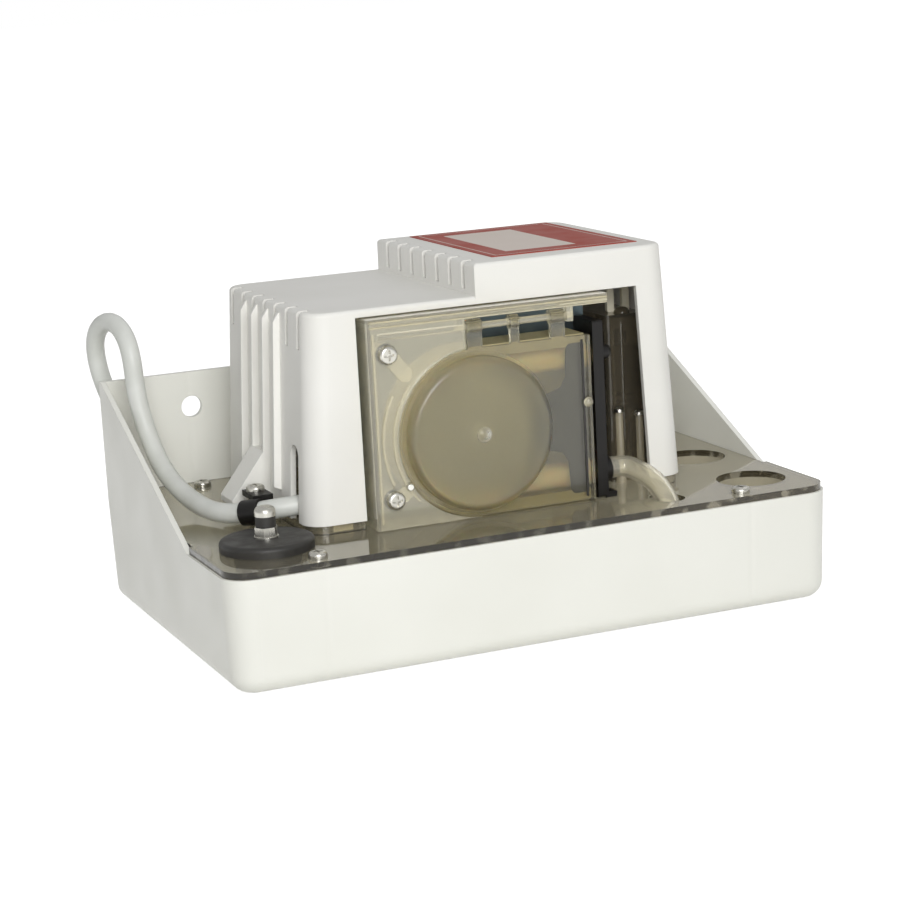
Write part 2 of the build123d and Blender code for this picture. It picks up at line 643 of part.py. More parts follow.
def make_mounting_plate():
    """The zinc plate that carries the head in front and the gearbox behind."""
    plate = block(HEAD_LEFT, BLOCK_RIGHT, HEAD_BACK, PLATE_BACK, DECK_TOP, HEAD_TOP - 6)
    for x0, x1 in ((HEAD_LEFT, HEAD_LEFT + 9), (BLOCK_RIGHT - 9, BLOCK_RIGHT)):
        foot = block(x0, x1, PLATE_BACK - 0.5, PLATE_BACK + PLATE_FOOT, DECK_TOP, DECK_TOP + PLATE_THICKNESS)
        plate += foot
    plate -= rod_y(PUMP_X, PUMP_Z, OUTPUT_SHAFT_RADIUS + BUSH_WALL + 0.2, HEAD_BACK - 1, PLATE_BACK + 1)
    plate -= rod_y(MIDDLE_X, MIDDLE_Z, MIDDLE_AXLE_RADIUS + 0.2, HEAD_BACK - 1, PLATE_BACK + 1)
    for z in (HEAD_SCREW_LOW, HEAD_SCREW_HIGH):
        plate -= rod_y(HEAD_SCREW_X, z, SCREW_SHANK_RADIUS + 0.1, HEAD_BACK - 1, PLATE_BACK + 1)
    return plate


def make_head_frame():
    """Frosted frame: flange at the left, rail along the top, ears for the hinge rod."""
    bottom = DECK_TOP + 0.3
    corner = span(HEAD_LEFT, PUMP_X, bottom, HEAD_TOP)
    corner -= d_outline(COVER_RADIUS + COVER_GAP, PUMP_X + 5)
    corner -= span(LEFT_EAR_X + HINGE_EAR, PUMP_X + 1, PUMP_Z, RAIL_BOTTOM)
    frame = prism_y(corner, HEAD_FRONT, COVER_BACK)
    frame += prism_y(span(HEAD_LEFT, HEAD_LEFT + HEAD_WALL, bottom, HEAD_TOP), HEAD_FRONT, HEAD_BACK)
    frame += prism_y(span(HEAD_LEFT, RAIL_RIGHT, FLANGE_TOP, HEAD_TOP), HEAD_FRONT, HEAD_BACK)
    frame += prism_y(span(HEAD_LEFT, RAIL_RIGHT, RAIL_BOTTOM, HEAD_TOP), HEAD_FRONT + 1.2, COVER_BACK + 1)
    for z in (HEAD_SCREW_LOW, HEAD_SCREW_HIGH):
        frame += rod_y(HEAD_SCREW_X, z, SCREW_HEAD_RADIUS + 0.6, COVER_BACK - 1, HEAD_BACK)
    frame += rod_y(PUMP_X - COVER_RADIUS - 2.2, PUMP_Z - 18.5, 1.8, HEAD_FRONT - 0.8, COVER_BACK)
    # ears that carry the hinge rod, beyond the outer knuckles
    for x in (LEFT_EAR_X, RIGHT_EAR_X):
        frame += block(x, x + HINGE_EAR, HINGE_Y - 2.5, COVER_BACK + 1, HINGE_Z - 2.5, RAIL_BOTTOM + 1)
    frame -= rod_x(HINGE_Y, HINGE_Z, HINGE_ROD_RADIUS, HEAD_LEFT + 5, RAIL_RIGHT + 1)
    for z in (HEAD_SCREW_LOW, HEAD_SCREW_HIGH):
        frame -= rod_y(HEAD_SCREW_X, z, SCREW_SHANK_RADIUS + 0.1, HEAD_FRONT - 1, HEAD_BACK + 1)
    return frame


def make_track_body():
    """The horseshoe that the pump tube is rolled against."""
    outer = TRACK_RADIUS + TRACK_WALL
    right = HEAD_RIGHT - 1
    cup = prism_y(d_outline(outer, right), TRACK_FRONT, HEAD_BACK)
    cup -= prism_y(d_outline(TRACK_RADIUS, right + 5), TRACK_FRONT - 1, TRACK_FLOOR)
    cup -= rod_y(PUMP_X, PUMP_Z, OUTPUT_SHAFT_RADIUS + BUSH_WALL + 0.2, TRACK_FLOOR - 1, HEAD_BACK + 1)
    return cup


def make_pump_cover():
    """Hinged frosted cover: a D plate, a round boss over the rotor and three hinge knuckles."""
    plate = prism_y(d_outline(COVER_RADIUS, HEAD_RIGHT), HEAD_FRONT, COVER_BACK)
    boss = rod_y(PUMP_X, PUMP_Z, BOSS_RADIUS, HEAD_FRONT - BOSS_RISE, HEAD_FRONT + 0.5)
    boss = fillet(boss.edges().group_by(Axis.Y)[0], BOSS_ROUNDING)
    cover = plate + boss
    cover -= rod_y(PUMP_X, PUMP_Z, BOSS_RADIUS - BOSS_WALL, HEAD_FRONT - BOSS_RISE + BOSS_WALL, COVER_BACK + 1)
    cover += rod_y(PUMP_X, PUMP_Z, 1.6, HEAD_FRONT - BOSS_RISE - 0.6, HEAD_FRONT - BOSS_RISE + 1)
    # rim down the right edge, stiffening the plate
    cover += block(HEAD_RIGHT - 1.5, HEAD_RIGHT, HEAD_FRONT - 1.0, COVER_BACK,
                   PUMP_Z - COVER_RADIUS, PUMP_Z + COVER_RADIUS)
    top = PUMP_Z + COVER_RADIUS
    for place, width in zip(KNUCKLE_PLACES, KNUCKLE_WIDTHS):
        x0, x1 = place - width / 2, place + width / 2
        cover += rod_x(HINGE_Y, HINGE_Z, KNUCKLE_RADIUS, x0, x1)
        cover += block(x0, x1, HEAD_FRONT, COVER_BACK, top - 1, HINGE_Z)
    cover -= rod_x(HINGE_Y, HINGE_Z, HINGE_ROD_RADIUS + RUNNING_GAP, HEAD_LEFT, RAIL_RIGHT)
    return cover


def make_hinge_rod():
    return rod_x(HINGE_Y, HINGE_Z, HINGE_ROD_RADIUS, LEFT_EAR_X - 0.5, RIGHT_EAR_X + HINGE_EAR + 0.5)


def make_cover_catch():
    """Round-headed catch at the cover's right edge."""
    catch = Pos(HEAD_RIGHT - 2.0, HEAD_FRONT - 1.0, CATCH_Z) * Sphere(CATCH_RADIUS)
    return catch & block(HEAD_RIGHT - 5, HEAD_RIGHT + 5, HEAD_FRONT - 6, HEAD_FRONT - 1.0,
                         CATCH_Z - 5, CATCH_Z + 5)


def make_head_screws():
    """Two long screws through the flange's posts into the mounting plate."""
    screw = pan_screw(HEAD_DEPTH + PLATE_THICKNESS)
    return Compound([Pos(HEAD_SCREW_X, HEAD_FRONT, z) * Rot(90, 0, 0) * screw
                     for z in (HEAD_SCREW_LOW, HEAD_SCREW_HIGH)])


def make_pump_tube():
    """The U tube: rolled flat round the track, round again where it meets the ports."""
    flat_end = PUMP_X + 13.0
    round_start = PUMP_X + 26.0
    middle = TRACK_RADIUS - TUBE_SEAT - TUBE_SQUEEZED / 2
    flat = SlotOverall(TUBE_SQUEEZED_WIDTH, TUBE_SQUEEZED, rotation=90)
    ring_section = Pos(middle, 0) * flat
    bend = revolve(Plane.XY * ring_section, axis=Axis.Y, revolution_arc=180)
    tube = Pos(PUMP_X, TUBE_Y, PUMP_Z) * Rot(0, 90, 0) * bend
    for side in (1, -1):
        flat_z = PUMP_Z + side * middle
        leg_z = PUMP_Z + side * LEG_OFFSET
        start = Plane(origin=(PUMP_X, TUBE_Y, flat_z), x_dir=(0, 0, 1), z_dir=(1, 0, 0))
        near = Plane(origin=(flat_end, TUBE_Y, flat_z), x_dir=(0, 0, 1), z_dir=(1, 0, 0))
        far = Plane(origin=(round_start, TUBE_Y, leg_z), x_dir=(0, 0, 1), z_dir=(1, 0, 0))
        tube += extrude(start * flat, amount=flat_end - PUMP_X)
        tube += loft([near * flat, far * Circle(PUMP_TUBE_RADIUS)])
        tube += rod_x(TUBE_Y, leg_z, PUMP_TUBE_RADIUS, round_start, BLOCK_LEFT)
        tube -= rod_x(TUBE_Y, leg_z, PUMP_TUBE_BORE + RUNNING_GAP, BLOCK_LEFT - BARB_LENGTH - 1, BLOCK_LEFT + 1)
    return tube


def make_connector_block():
    """Black upright that grips both ends of the pump tube."""
    body = block(BLOCK_LEFT, BLOCK_RIGHT, HEAD_FRONT + 1.5, HEAD_BACK, BLOCK_BOTTOM, BLOCK_TOP)
    body = fillet(body.edges().filter_by(Axis.X), 1.0)
    body += block(BLOCK_RIGHT - 1, BLOCK_RIGHT + 4, HEAD_FRONT + 1.5, HEAD_BACK, DECK_TOP, DECK_TOP + 2.4)
    for z in (UPPER_PORT_Z, LOWER_PORT_Z):
        body -= rod_x(TUBE_Y, z, PUMP_TUBE_BORE + RUNNING_GAP, BLOCK_LEFT - 1, BLOCK_RIGHT + 5)
    return body


def make_suction_fitting():
    """Straight barbed fitting of the lower port."""
    z = LOWER_PORT_Z
    collar_end = BLOCK_RIGHT + COLLAR_LENGTH
    fitting = rod_x(TUBE_Y, z, PUMP_TUBE_BORE, BLOCK_LEFT - BARB_LENGTH, collar_end + 4)
    fitting += rod_x(TUBE_Y, z, COLLAR_RADIUS, BLOCK_RIGHT, collar_end - 0.2)
    return fitting - rod_x(TUBE_Y, z, 2.0, BLOCK_LEFT - BARB_LENGTH - 1, collar_end + 5)


def make_discharge_fitting():
    """Elbow of the upper port, turned to the back."""
    z = UPPER_PORT_Z
    fitting = rod_x(TUBE_Y, z, PUMP_TUBE_BORE, BLOCK_LEFT - BARB_LENGTH, BLOCK_RIGHT + 1)
    fitting += rod_x(TUBE_Y, z, ELBOW_RADIUS, BLOCK_RIGHT, DISCHARGE_X)
    fitting += rod_y(DISCHARGE_X, z, ELBOW_RADIUS, TUBE_Y, TUBE_Y + 9)
    fitting += Pos(DISCHARGE_X, TUBE_Y, z) * Sphere(ELBOW_RADIUS)
    fitting += rod_y(DISCHARGE_X, z, DISCHARGE_BORE, TUBE_Y + 8, TUBE_Y + 9 + BARB_LENGTH)
    fitting -= rod_x(TUBE_Y, z, 2.0, BLOCK_LEFT - BARB_LENGTH - 1, DISCHARGE_X)
    return fitting - rod_y(DISCHARGE_X, z, 1.6, TUBE_Y, TUBE_Y + 10 + BARB_LENGTH)


def make_suction_tube():
    path, radii = cord_path(hose_route())
    print("suction hose radii", [round(r, 1) for r in radii])
    hose = tube_along(path, HOSE_RADIUS, HOSE_BORE + RUNNING_GAP)
    return hose


def make_strainer():
    """Slotted foot strainer at the end of the suction hose."""
    x, y = hose_route()[-1][:2]
    bottom = TANK_WALL + STRAINER_LIFT
    body = rod_z(x, y, STRAINER_RADIUS, bottom, STRAINER_TOP)
    body -= rod_z(x, y, STRAINER_RADIUS - 1.6, bottom - 1, STRAINER_TOP - 2)
    for turn in range(0, 180, 30):
        slot = Pos(x, y, bottom + 2.5) * Rot(0, 0, turn) * Box(3 * STRAINER_RADIUS, 1.8, 6)
        body -= slot
    return body + rod_z(x, y, HOSE_BORE, STRAINER_TOP - 1, STRAINER_TOP + 6) - rod_z(
        x, y, 2.0, STRAINER_TOP - 3, STRAINER_TOP + 7)


def make_discharge_tube():
    """Straight hose from the elbow to the outlet at the hood's back."""
    y0 = TUBE_Y + 9
    y1 = hood_back(UPPER_PORT_Z) - HOOD_WALL - 6.0
    hose = rod_y(DISCHARGE_X, UPPER_PORT_Z, DISCHARGE_RADIUS, y0 + 0.2, y1)
    return hose - rod_y(DISCHARGE_X, UPPER_PORT_Z, DISCHARGE_BORE + RUNNING_GAP, y0 - 1, y1 + 1)


def make_outlet_barb():
    """Outlet elbow through the hood's back; the customer's hose pushes on to its upturned end."""
    z = UPPER_PORT_Z
    inside = hood_back(z) - HOOD_WALL
    barb = rod_y(DISCHARGE_X, z, DISCHARGE_BORE, inside - 13, inside)
    barb += rod_y(DISCHARGE_X, z, OUTLET_RADIUS + 2.5, inside - 5.8, inside - 0.6)
    barb += rod_y(DISCHARGE_X, z, OUTLET_RADIUS, inside - 1, OUTLET_Y)
    barb += Pos(DISCHARGE_X, OUTLET_Y, z) * Sphere(OUTLET_RADIUS)
    barb += rod_z(DISCHARGE_X, OUTLET_Y, OUTLET_RADIUS, z, OUTLET_TOP)
    barb += rod_z(DISCHARGE_X, OUTLET_Y, OUTLET_STOP_RADIUS, z, z + OUTLET_STOP_HEIGHT)
    barb -= rod_y(DISCHARGE_X, z, 1.8, inside - 14, OUTLET_Y)
    return barb - rod_z(DISCHARGE_X, OUTLET_Y, 2.4, z, OUTLET_TOP + 1)


# ---------------------------------------------------------------- rotor and rollers
def roller_place(i):
    angle = radians(90 + 360 / ROLLER_COUNT * i)
    return PUMP_X + ROLLER_ORBIT * cos(angle), PUMP_Z + ROLLER_ORBIT * sin(angle)


ROLLER_FRONT = TUBE_Y - ROLLER_LENGTH / 2
ROLLER_BACK = TUBE_Y + ROLLER_LENGTH / 2
ROTOR_FRONT = ROLLER_FRONT - END_PLAY - ROTOR_PLATE
ROTOR_BACK = ROLLER_BACK + END_PLAY + ROTOR_PLATE


def make_rotor_frame():
    """A hub with a round plate in front and a three-armed plate behind."""
    arms = Circle(ROTOR_HUB_RADIUS + 4)
    for i in range(ROLLER_COUNT):
        x, z = roller_place(i)
        arms += make_hull([Circle(ROTOR_HUB_RADIUS).edge(),
                           (Pos(x - PUMP_X, z - PUMP_Z) * Circle(ROTOR_ARM_RADIUS - ROLLER_ORBIT)).edge()])
    arms = at(arms, PUMP_X, PUMP_Z)
    frame = rod_y(PUMP_X, PUMP_Z, ROTOR_DISC_RADIUS, ROTOR_FRONT, ROTOR_FRONT + ROTOR_PLATE)
    frame += prism_y(arms, ROTOR_BACK - ROTOR_PLATE, ROTOR_BACK)
    frame += rod_y(PUMP_X, PUMP_Z, ROTOR_HUB_RADIUS, ROTOR_FRONT, ROTOR_BACK)
    frame -= rod_y(PUMP_X, PUMP_Z, OUTPUT_SHAFT_RADIUS, ROTOR_FRONT - 1, ROTOR_BACK + 1)
    for i in range(ROLLER_COUNT):
        x, z = roller_place(i)
        frame -= rod_y(x, z, ROLLER_PIN_RADIUS, ROTOR_FRONT - 1, ROTOR_BACK + 1)
    return frame


def make_roller(i):
    x, z = roller_place(i)
    roller = rod_y(x, z, ROLLER_RADIUS, ROLLER_FRONT, ROLLER_BACK)
    roller = fillet(roller.edges().filter_by(GeomType.CIRCLE), 0.8)
    return roller - rod_y(x, z, ROLLER_PIN_RADIUS + RUNNING_GAP, ROLLER_FRONT - 1, ROLLER_BACK + 1)


def make_roller_pins():
    places = [roller_place(i) for i in range(ROLLER_COUNT)]
    return Compound([rod_y(x, z, ROLLER_PIN_RADIUS, ROTOR_FRONT, ROTOR_BACK) for x, z in places])


def make_output_shaft():
    shaft = rod_y(PUMP_X, PUMP_Z, OUTPUT_SHAFT_RADIUS, ROTOR_FRONT - 0.3, GEARBOX_BACK - 0.5)
    return shaft


# ---------------------------------------------------------------- gearbox
def case_outline(grow):
    """The gearbox outline drawn tight round its three shafts."""
    circles = [(PUMP_X, PUMP_Z, CASE_RADIUS), (MIDDLE_X, MIDDLE_Z, 25.0), (MOTOR_X, MOTOR_Z, 16.0)]
    return make_hull([at(Circle(r + grow), x, z).edge() for x, z, r in circles])


def bush_seat(x, z, radius, y0, y1):
    return rod_y(x, z, radius + BUSH_WALL, y0, y1)


def make_gearbox_case():
    case = prism_y(case_outline(0), PLATE_BACK, CASE_BACK)
    case -= prism_y(case_outline(-CASE_WALL), PLATE_BACK + CASE_WALL, CASE_BACK + 1)
    case -= bush_seat(PUMP_X, PUMP_Z, OUTPUT_SHAFT_RADIUS, PLATE_BACK - 1, PLATE_BACK + CASE_WALL + 1)
    case -= rod_y(MIDDLE_X, MIDDLE_Z, MIDDLE_AXLE_RADIUS, PLATE_BACK - 1, PLATE_BACK + CASE_WALL + 1)
    return case


def motor_screw_places():
    return [(MOTOR_X - STACK_WIDTH / 2 + 5, STACK_BOTTOM + 5), (MOTOR_X + STACK_WIDTH / 2 - 5, STACK_BOTTOM + 5)]


def make_gearbox_cover():
    """Back plate of the gearbox, with the two pillars that carry the motor."""
    cover = prism_y(case_outline(0), CASE_BACK, GEARBOX_BACK)
    for x, z in motor_screw_places():
        cover += rod_y(x, z, 4.0, CASE_BACK, STACK_FRONT)
        cover -= rod_y(x, z, MOTOR_SCREW_RADIUS, CASE_BACK - 1, STACK_FRONT + 1)
    cover -= bush_seat(PUMP_X, PUMP_Z, OUTPUT_SHAFT_RADIUS, CASE_BACK - 1, GEARBOX_BACK + 1)
    cover += rod_y(MOTOR_X, MOTOR_Z, MOTOR_SHAFT_RADIUS + BUSH_WALL + 2, GEARBOX_BACK - 1, GEARBOX_BACK + 3)
    cover -= bush_seat(MOTOR_X, MOTOR_Z, MOTOR_SHAFT_RADIUS, CASE_BACK - 1, GEARBOX_BACK + 4)
    cover -= rod_y(MIDDLE_X, MIDDLE_Z, MIDDLE_AXLE_RADIUS, CASE_BACK - 1, GEARBOX_BACK + 1)
    return cover


def make_bush(x, z, radius, y0, y1):
    return bush_seat(x, z, radius, y0, y1) - rod_y(x, z, radius + RUNNING_GAP, y0 - 1, y1 + 1)


def make_shaft_bushes():
    """Bronze bushes: two on the output shaft, two on the motor shaft."""
    return Compound([
        make_bush(PUMP_X, PUMP_Z, OUTPUT_SHAFT_RADIUS, HEAD_BACK, PLATE_BACK + CASE_WALL),
        make_bush(PUMP_X, PUMP_Z, OUTPUT_SHAFT_RADIUS, CASE_BACK, GEARBOX_BACK),
        make_bush(MOTOR_X, MOTOR_Z, MOTOR_SHAFT_RADIUS, CASE_BACK, GEARBOX_BACK + 3),
        make_bush(MOTOR_X, MOTOR_Z, MOTOR_SHAFT_RADIUS, BRACKET_FRONT, BRACKET_BACK + 2)])


def make_output_gear():
    """The last wheel, keyed on the output shaft, lightened by round windows."""
    phase = angle_to(PUMP_X, PUMP_Z, MIDDLE_X, MIDDLE_Z)
    outline = gear_outline(OUTPUT_TEETH, OUTPUT_MODULE, phase) - Circle(OUTPUT_SHAFT_RADIUS)
    outline -= PolarLocations(13.0, 5) * Circle(4.5)
    outline = at(outline, PUMP_X, PUMP_Z)
    return prism_y(outline, OUTPUT_GEAR_FRONT, OUTPUT_GEAR_FRONT + OUTPUT_GEAR_WIDTH)


def make_middle_gear():
    """Large wheel and small pinion moulded in one, running free on a fixed axle."""
    to_output = angle_to(MIDDLE_X, MIDDLE_Z, PUMP_X, PUMP_Z)
    to_motor = angle_to(MIDDLE_X, MIDDLE_Z, MOTOR_X, MOTOR_Z)
    pinion = gear_outline(MIDDLE_PINION_TEETH, OUTPUT_MODULE, to_output + 180 / MIDDLE_PINION_TEETH)
    wheel = gear_outline(MIDDLE_TEETH, MOTOR_MODULE, to_motor)
    wheel_back = MIDDLE_GEAR_FRONT + MIDDLE_GEAR_WIDTH
    cluster = prism_y(at(pinion, MIDDLE_X, MIDDLE_Z), OUTPUT_GEAR_FRONT, MIDDLE_GEAR_FRONT)
    cluster += prism_y(at(wheel, MIDDLE_X, MIDDLE_Z), MIDDLE_GEAR_FRONT, wheel_back)
    return cluster - rod_y(MIDDLE_X, MIDDLE_Z, MIDDLE_AXLE_RADIUS + RUNNING_GAP,
                           OUTPUT_GEAR_FRONT - 1, wheel_back + 1)


def make_middle_axle():
    return rod_y(MIDDLE_X, MIDDLE_Z, MIDDLE_AXLE_RADIUS, HEAD_BACK + 0.3, GEARBOX_BACK)


# ---------------------------------------------------------------- motor
def make_motor_shaft():
    """Shaft with the pinion cut on its front end."""
    phase = angle_to(MOTOR_X, MOTOR_Z, MIDDLE_X, MIDDLE_Z) + 180 / MOTOR_PINION_TEETH
    pinion = gear_outline(MOTOR_PINION_TEETH, MOTOR_MODULE, phase)
    shaft = rod_y(MOTOR_X, MOTOR_Z, MOTOR_SHAFT_RADIUS, MIDDLE_GEAR_FRONT, BRACKET_BACK + 16)
    return shaft + prism_y(at(pinion, MOTOR_X, MOTOR_Z), MIDDLE_GEAR_FRONT - 0.5,
                           MIDDLE_GEAR_FRONT + MIDDLE_GEAR_WIDTH + 0.5)


def make_motor_rotor():
    rotor = rod_y(MOTOR_X, MOTOR_Z, MOTOR_ROTOR_RADIUS, STACK_FRONT, STACK_BACK)
    return rotor - rod_y(MOTOR_X, MOTOR_Z, MOTOR_SHAFT_RADIUS, STACK_FRONT - 1, STACK_BACK + 1)


def coil_window():
    """Opening in the laminations below the leg that carries the winding."""
    half = COIL_LENGTH / 2 + COIL_GAP
    low = MOTOR_Z + MOTOR_ROTOR_RADIUS + AIR_GAP + 4.0
    return MOTOR_X - half, MOTOR_X + half, low, STACK_TOP - YOKE


def make_stator_stack():
    half = STACK_WIDTH / 2
    outline = span(MOTOR_X - half, MOTOR_X + half, STACK_BOTTOM, STACK_TOP)
    outline -= span(*coil_window())
    outline -= at(Circle(MOTOR_ROTOR_RADIUS + AIR_GAP), MOTOR_X, MOTOR_Z)
    for x, z in motor_screw_places():
        outline -= at(Circle(MOTOR_SCREW_RADIUS + 0.1), x, z)
    return prism_y(outline, STACK_FRONT, STACK_BACK)


def make_motor_coil():
    """Winding round the top leg."""
    x0, x1 = MOTOR_X - COIL_LENGTH / 2, MOTOR_X + COIL_LENGTH / 2
    z0, z1 = STACK_TOP - YOKE - COIL_GAP, STACK_TOP + COIL_GAP
    y0, y1 = STACK_FRONT - COIL_GAP, STACK_BACK + COIL_GAP
    coil = block(x0, x1, y0 - COIL_BUILD, y1 + COIL_BUILD, z0 - COIL_BUILD, z1 + COIL_BUILD)
    coil = fillet(coil.edges().filter_by(Axis.X), 4.0)
    return coil - block(x0 - 1, x1 + 1, y0, y1, z0, z1)


def make_rear_bracket():
    """Strap across the back of the stack, with the rear bearing."""
    (xa, z), (xb, _) = motor_screw_places()
    low = z - 4
    bracket = block(xa - 4, xb + 4, BRACKET_FRONT, BRACKET_BACK, low, MOTOR_Z + 8)
    for x in (xa, xb):
        bracket += rod_y(x, z, 4.0, STACK_BACK, BRACKET_BACK)
        bracket -= rod_y(x, z, MOTOR_SCREW_RADIUS + 0.1, STACK_BACK - 1, BRACKET_BACK + 1)
    bracket += rod_y(MOTOR_X, MOTOR_Z, MOTOR_SHAFT_RADIUS + BUSH_WALL + 2, BRACKET_BACK - 1, BRACKET_BACK + 2)
    return bracket - bush_seat(MOTOR_X, MOTOR_Z, MOTOR_SHAFT_RADIUS, BRACKET_FRONT - 1, BRACKET_BACK + 3)


def make_motor_screws():
    length = BRACKET_BACK - CASE_BACK - 0.5
    screw = pan_screw(length, MOTOR_SCREW_RADIUS)
    return Compound([Pos(x, BRACKET_BACK, z) * Rot(-90, 0, 0) * screw for x, z in motor_screw_places()])


def make_cooling_fan():
    """Small axial fan on the motor shaft's tail."""
    front = BRACKET_BACK + 4
    fan = rod_y(MOTOR_X, MOTOR_Z, 6.0, front, front + FAN_DEPTH)
    blade = Pos(FAN_RADIUS / 2 + 1, 0, 0) * Rot(35, 0, 0) * Box(FAN_RADIUS - 2, FAN_DEPTH + 1, 1.2)
    blade = blade & Box(4 * FAN_RADIUS, FAN_DEPTH, 4 * FAN_RADIUS)
    for i in range(FAN_BLADES):
        fan += Pos(MOTOR_X, front + FAN_DEPTH / 2, MOTOR_Z) * Rot(0, 360 / FAN_BLADES * i, 0) * blade
    return fan - rod_y(MOTOR_X, MOTOR_Z, MOTOR_SHAFT_RADIUS, front - 1, front + FAN_DEPTH + 1)


# ---------------------------------------------------------------- float and switches
POST_TOP = DECK_TOP + POST_HEIGHT
LEVER_Z = POST_TOP + 6.0
SWITCH_BOTTOM = LEVER_Z + SWITCH_LIFT
SWITCH_FRONT_Y = LEVER_PIVOT_Y - 1.0


def switch_places():
    """The two microswitches stand side by side."""
    middle = (SWITCH_BOX_LEFT + SWITCH_BOX_RIGHT) / 2
    offset = SWITCH_THICKNESS / 2 + 0.3
    return middle - offset, middle + offset


def make_float():
    """Sealed drum float on its rod."""
    drum = rod_z(FLOAT_X, FLOAT_Y, FLOAT_RADIUS, FLOAT_BOTTOM, FLOAT_BOTTOM + FLOAT_HEIGHT)
    drum = fillet(drum.edges().filter_by(GeomType.CIRCLE), 3.0)
    drum += rod_z(FLOAT_X, FLOAT_Y, 4.0, FLOAT_BOTTOM, FLOAT_BOTTOM + FLOAT_HEIGHT + 2)
    return drum - rod_z(FLOAT_X, FLOAT_Y, ROD_RADIUS, FLOAT_BOTTOM - 1, FLOAT_BOTTOM + FLOAT_HEIGHT + 3)


def make_float_rod():
    lever_bottom = LEVER_Z - LEVER_THICKNESS / 2
    return rod_z(FLOAT_X, FLOAT_Y, ROD_RADIUS, FLOAT_BOTTOM, lever_bottom - LEVER_GAP)


def make_switch_stand():
    """Two posts, a shelf, cheeks for the lever's pivot and a wall for the switches."""
    left, right = switch_places()
    wall = SWITCH_BOX_WALL + 0.5
    x0, x1 = SWITCH_BOX_LEFT + wall, SWITCH_BOX_RIGHT - wall
    y0 = SWITCH_BOX_FRONT + wall
    top = SWITCH_BOTTOM + SWITCH_LENGTH
    stand = block(x0, x1, y0, LEVER_PIVOT_Y + 5, POST_TOP, POST_TOP + 2)
    for x in (left - 1.0, right + 1.0):
        stand += rod_z(x, y0 + POST_RADIUS + 0.5, POST_RADIUS, DECK_TOP, POST_TOP + 1)
    stand += block(x0, x1, SWITCH_FRONT_Y - 1.6, SWITCH_FRONT_Y, SWITCH_BOTTOM - 1, top)
    for x in (x0, x1 - 1.2):
        stand += block(x, x + 1.2, y0, SWITCH_FRONT_Y, POST_TOP, top)
        stand += block(x, x + 1.2, y0, LEVER_PIVOT_Y + 3, POST_TOP, SWITCH_BOTTOM - 0.2)
    stand -= rod_x(LEVER_PIVOT_Y, LEVER_Z, 1.0 + RUNNING_GAP, x0 - 1, x1 + 1)
    return stand


def make_microswitches():
    """Two snap-action switches on end, plungers down and terminals up."""
    back = SWITCH_FRONT_Y + SWITCH_HEIGHT
    top = SWITCH_BOTTOM + SWITCH_LENGTH
    bodies = []
    for x in switch_places():
        body = block(x - SWITCH_THICKNESS / 2, x + SWITCH_THICKNESS / 2, SWITCH_FRONT_Y, back,
                     SWITCH_BOTTOM, top)
        for y in (SWITCH_FRONT_Y + 2, SWITCH_FRONT_Y + 5, SWITCH_FRONT_Y + 8):
            body += block(x - 1.6, x + 1.6, y - 0.3, y + 0.3, top - 0.5, top + 6)
        body -= rod_z(x, LEVER_PIVOT_Y + PLUNGER_ARM, PLUNGER_RADIUS + RUNNING_GAP,
                      SWITCH_BOTTOM - 1, SWITCH_BOTTOM + 4.2)
        bodies.append(body)
    return Compound(bodies)


def make_switch_plungers():
    low = LEVER_Z + LEVER_THICKNESS / 2 + LEVER_GAP
    return Compound([rod_z(x, LEVER_PIVOT_Y + PLUNGER_ARM, PLUNGER_RADIUS, low, SWITCH_BOTTOM + 1.4)
                     for x in switch_places()])


def make_float_lever():
    """Actuating lever: pivot barrel and a flat arm that narrows over the float rod."""
    x0, x1 = switch_places()
    half = LEVER_THICKNESS / 2
    arm = block(x0 - 2, x1 + 2, LEVER_PIVOT_Y, FLOAT_Y - 8, LEVER_Z - half, LEVER_Z + half)
    arm += rod_x(LEVER_PIVOT_Y, LEVER_Z, 1.8, x0 - 2, x1 + 2)
    stub = SWITCH_BOX_WALL + 0.7
    arm += rod_x(LEVER_PIVOT_Y, LEVER_Z, 1.0, SWITCH_BOX_LEFT + stub, SWITCH_BOX_RIGHT - stub)
    return arm + block(FLOAT_X - 3, FLOAT_X + 3, FLOAT_Y - 9, FLOAT_Y + LEVER_OVERHANG,
                       LEVER_Z - half, LEVER_Z + half)


def make_switch_cover():
    """Smoky clear box over the switches, open below."""
    wall = SWITCH_BOX_WALL
    cover = block(SWITCH_BOX_LEFT, SWITCH_BOX_RIGHT, SWITCH_BOX_FRONT, SWITCH_BOX_BACK, DECK_TOP, SWITCH_BOX_TOP)
    cover = fillet(cover.edges().filter_by(Axis.Z), 2.0)
    return cover - block(SWITCH_BOX_LEFT + wall, SWITCH_BOX_RIGHT - wall, SWITCH_BOX_FRONT + wall,
                         SWITCH_BOX_BACK - wall, DECK_TOP - 1, SWITCH_BOX_TOP - wall)


# ---------------------------------------------------------------- spare inlet plug
PLUG_TOP = DECK_TOP + PLUG_FLANGE_HEIGHT


def make_plug_stopper():
    """Rubber stopper: flange on the deck, tapered body in the hole."""
    x, y = SPARE_INLET_X, SPARE_INLET_Y
    flange = rod_z(x, y, PLUG_FLANGE_RADIUS, DECK_TOP, PLUG_TOP)
    flange = fillet(flange.edges().group_by(Axis.Z)[-1], 1.8)
    body = Pos(x, y, DECK_TOP - PLUG_BODY_DROP / 2) * Cone(
        INLET_RADIUS - 2.0, INLET_RADIUS - 0.3, PLUG_BODY_DROP)
    return flange + body - rod_z(x, y, PLUG_BOLT_RADIUS, DECK_TOP - PLUG_BODY_DROP - 1, PLUG_TOP + 1)


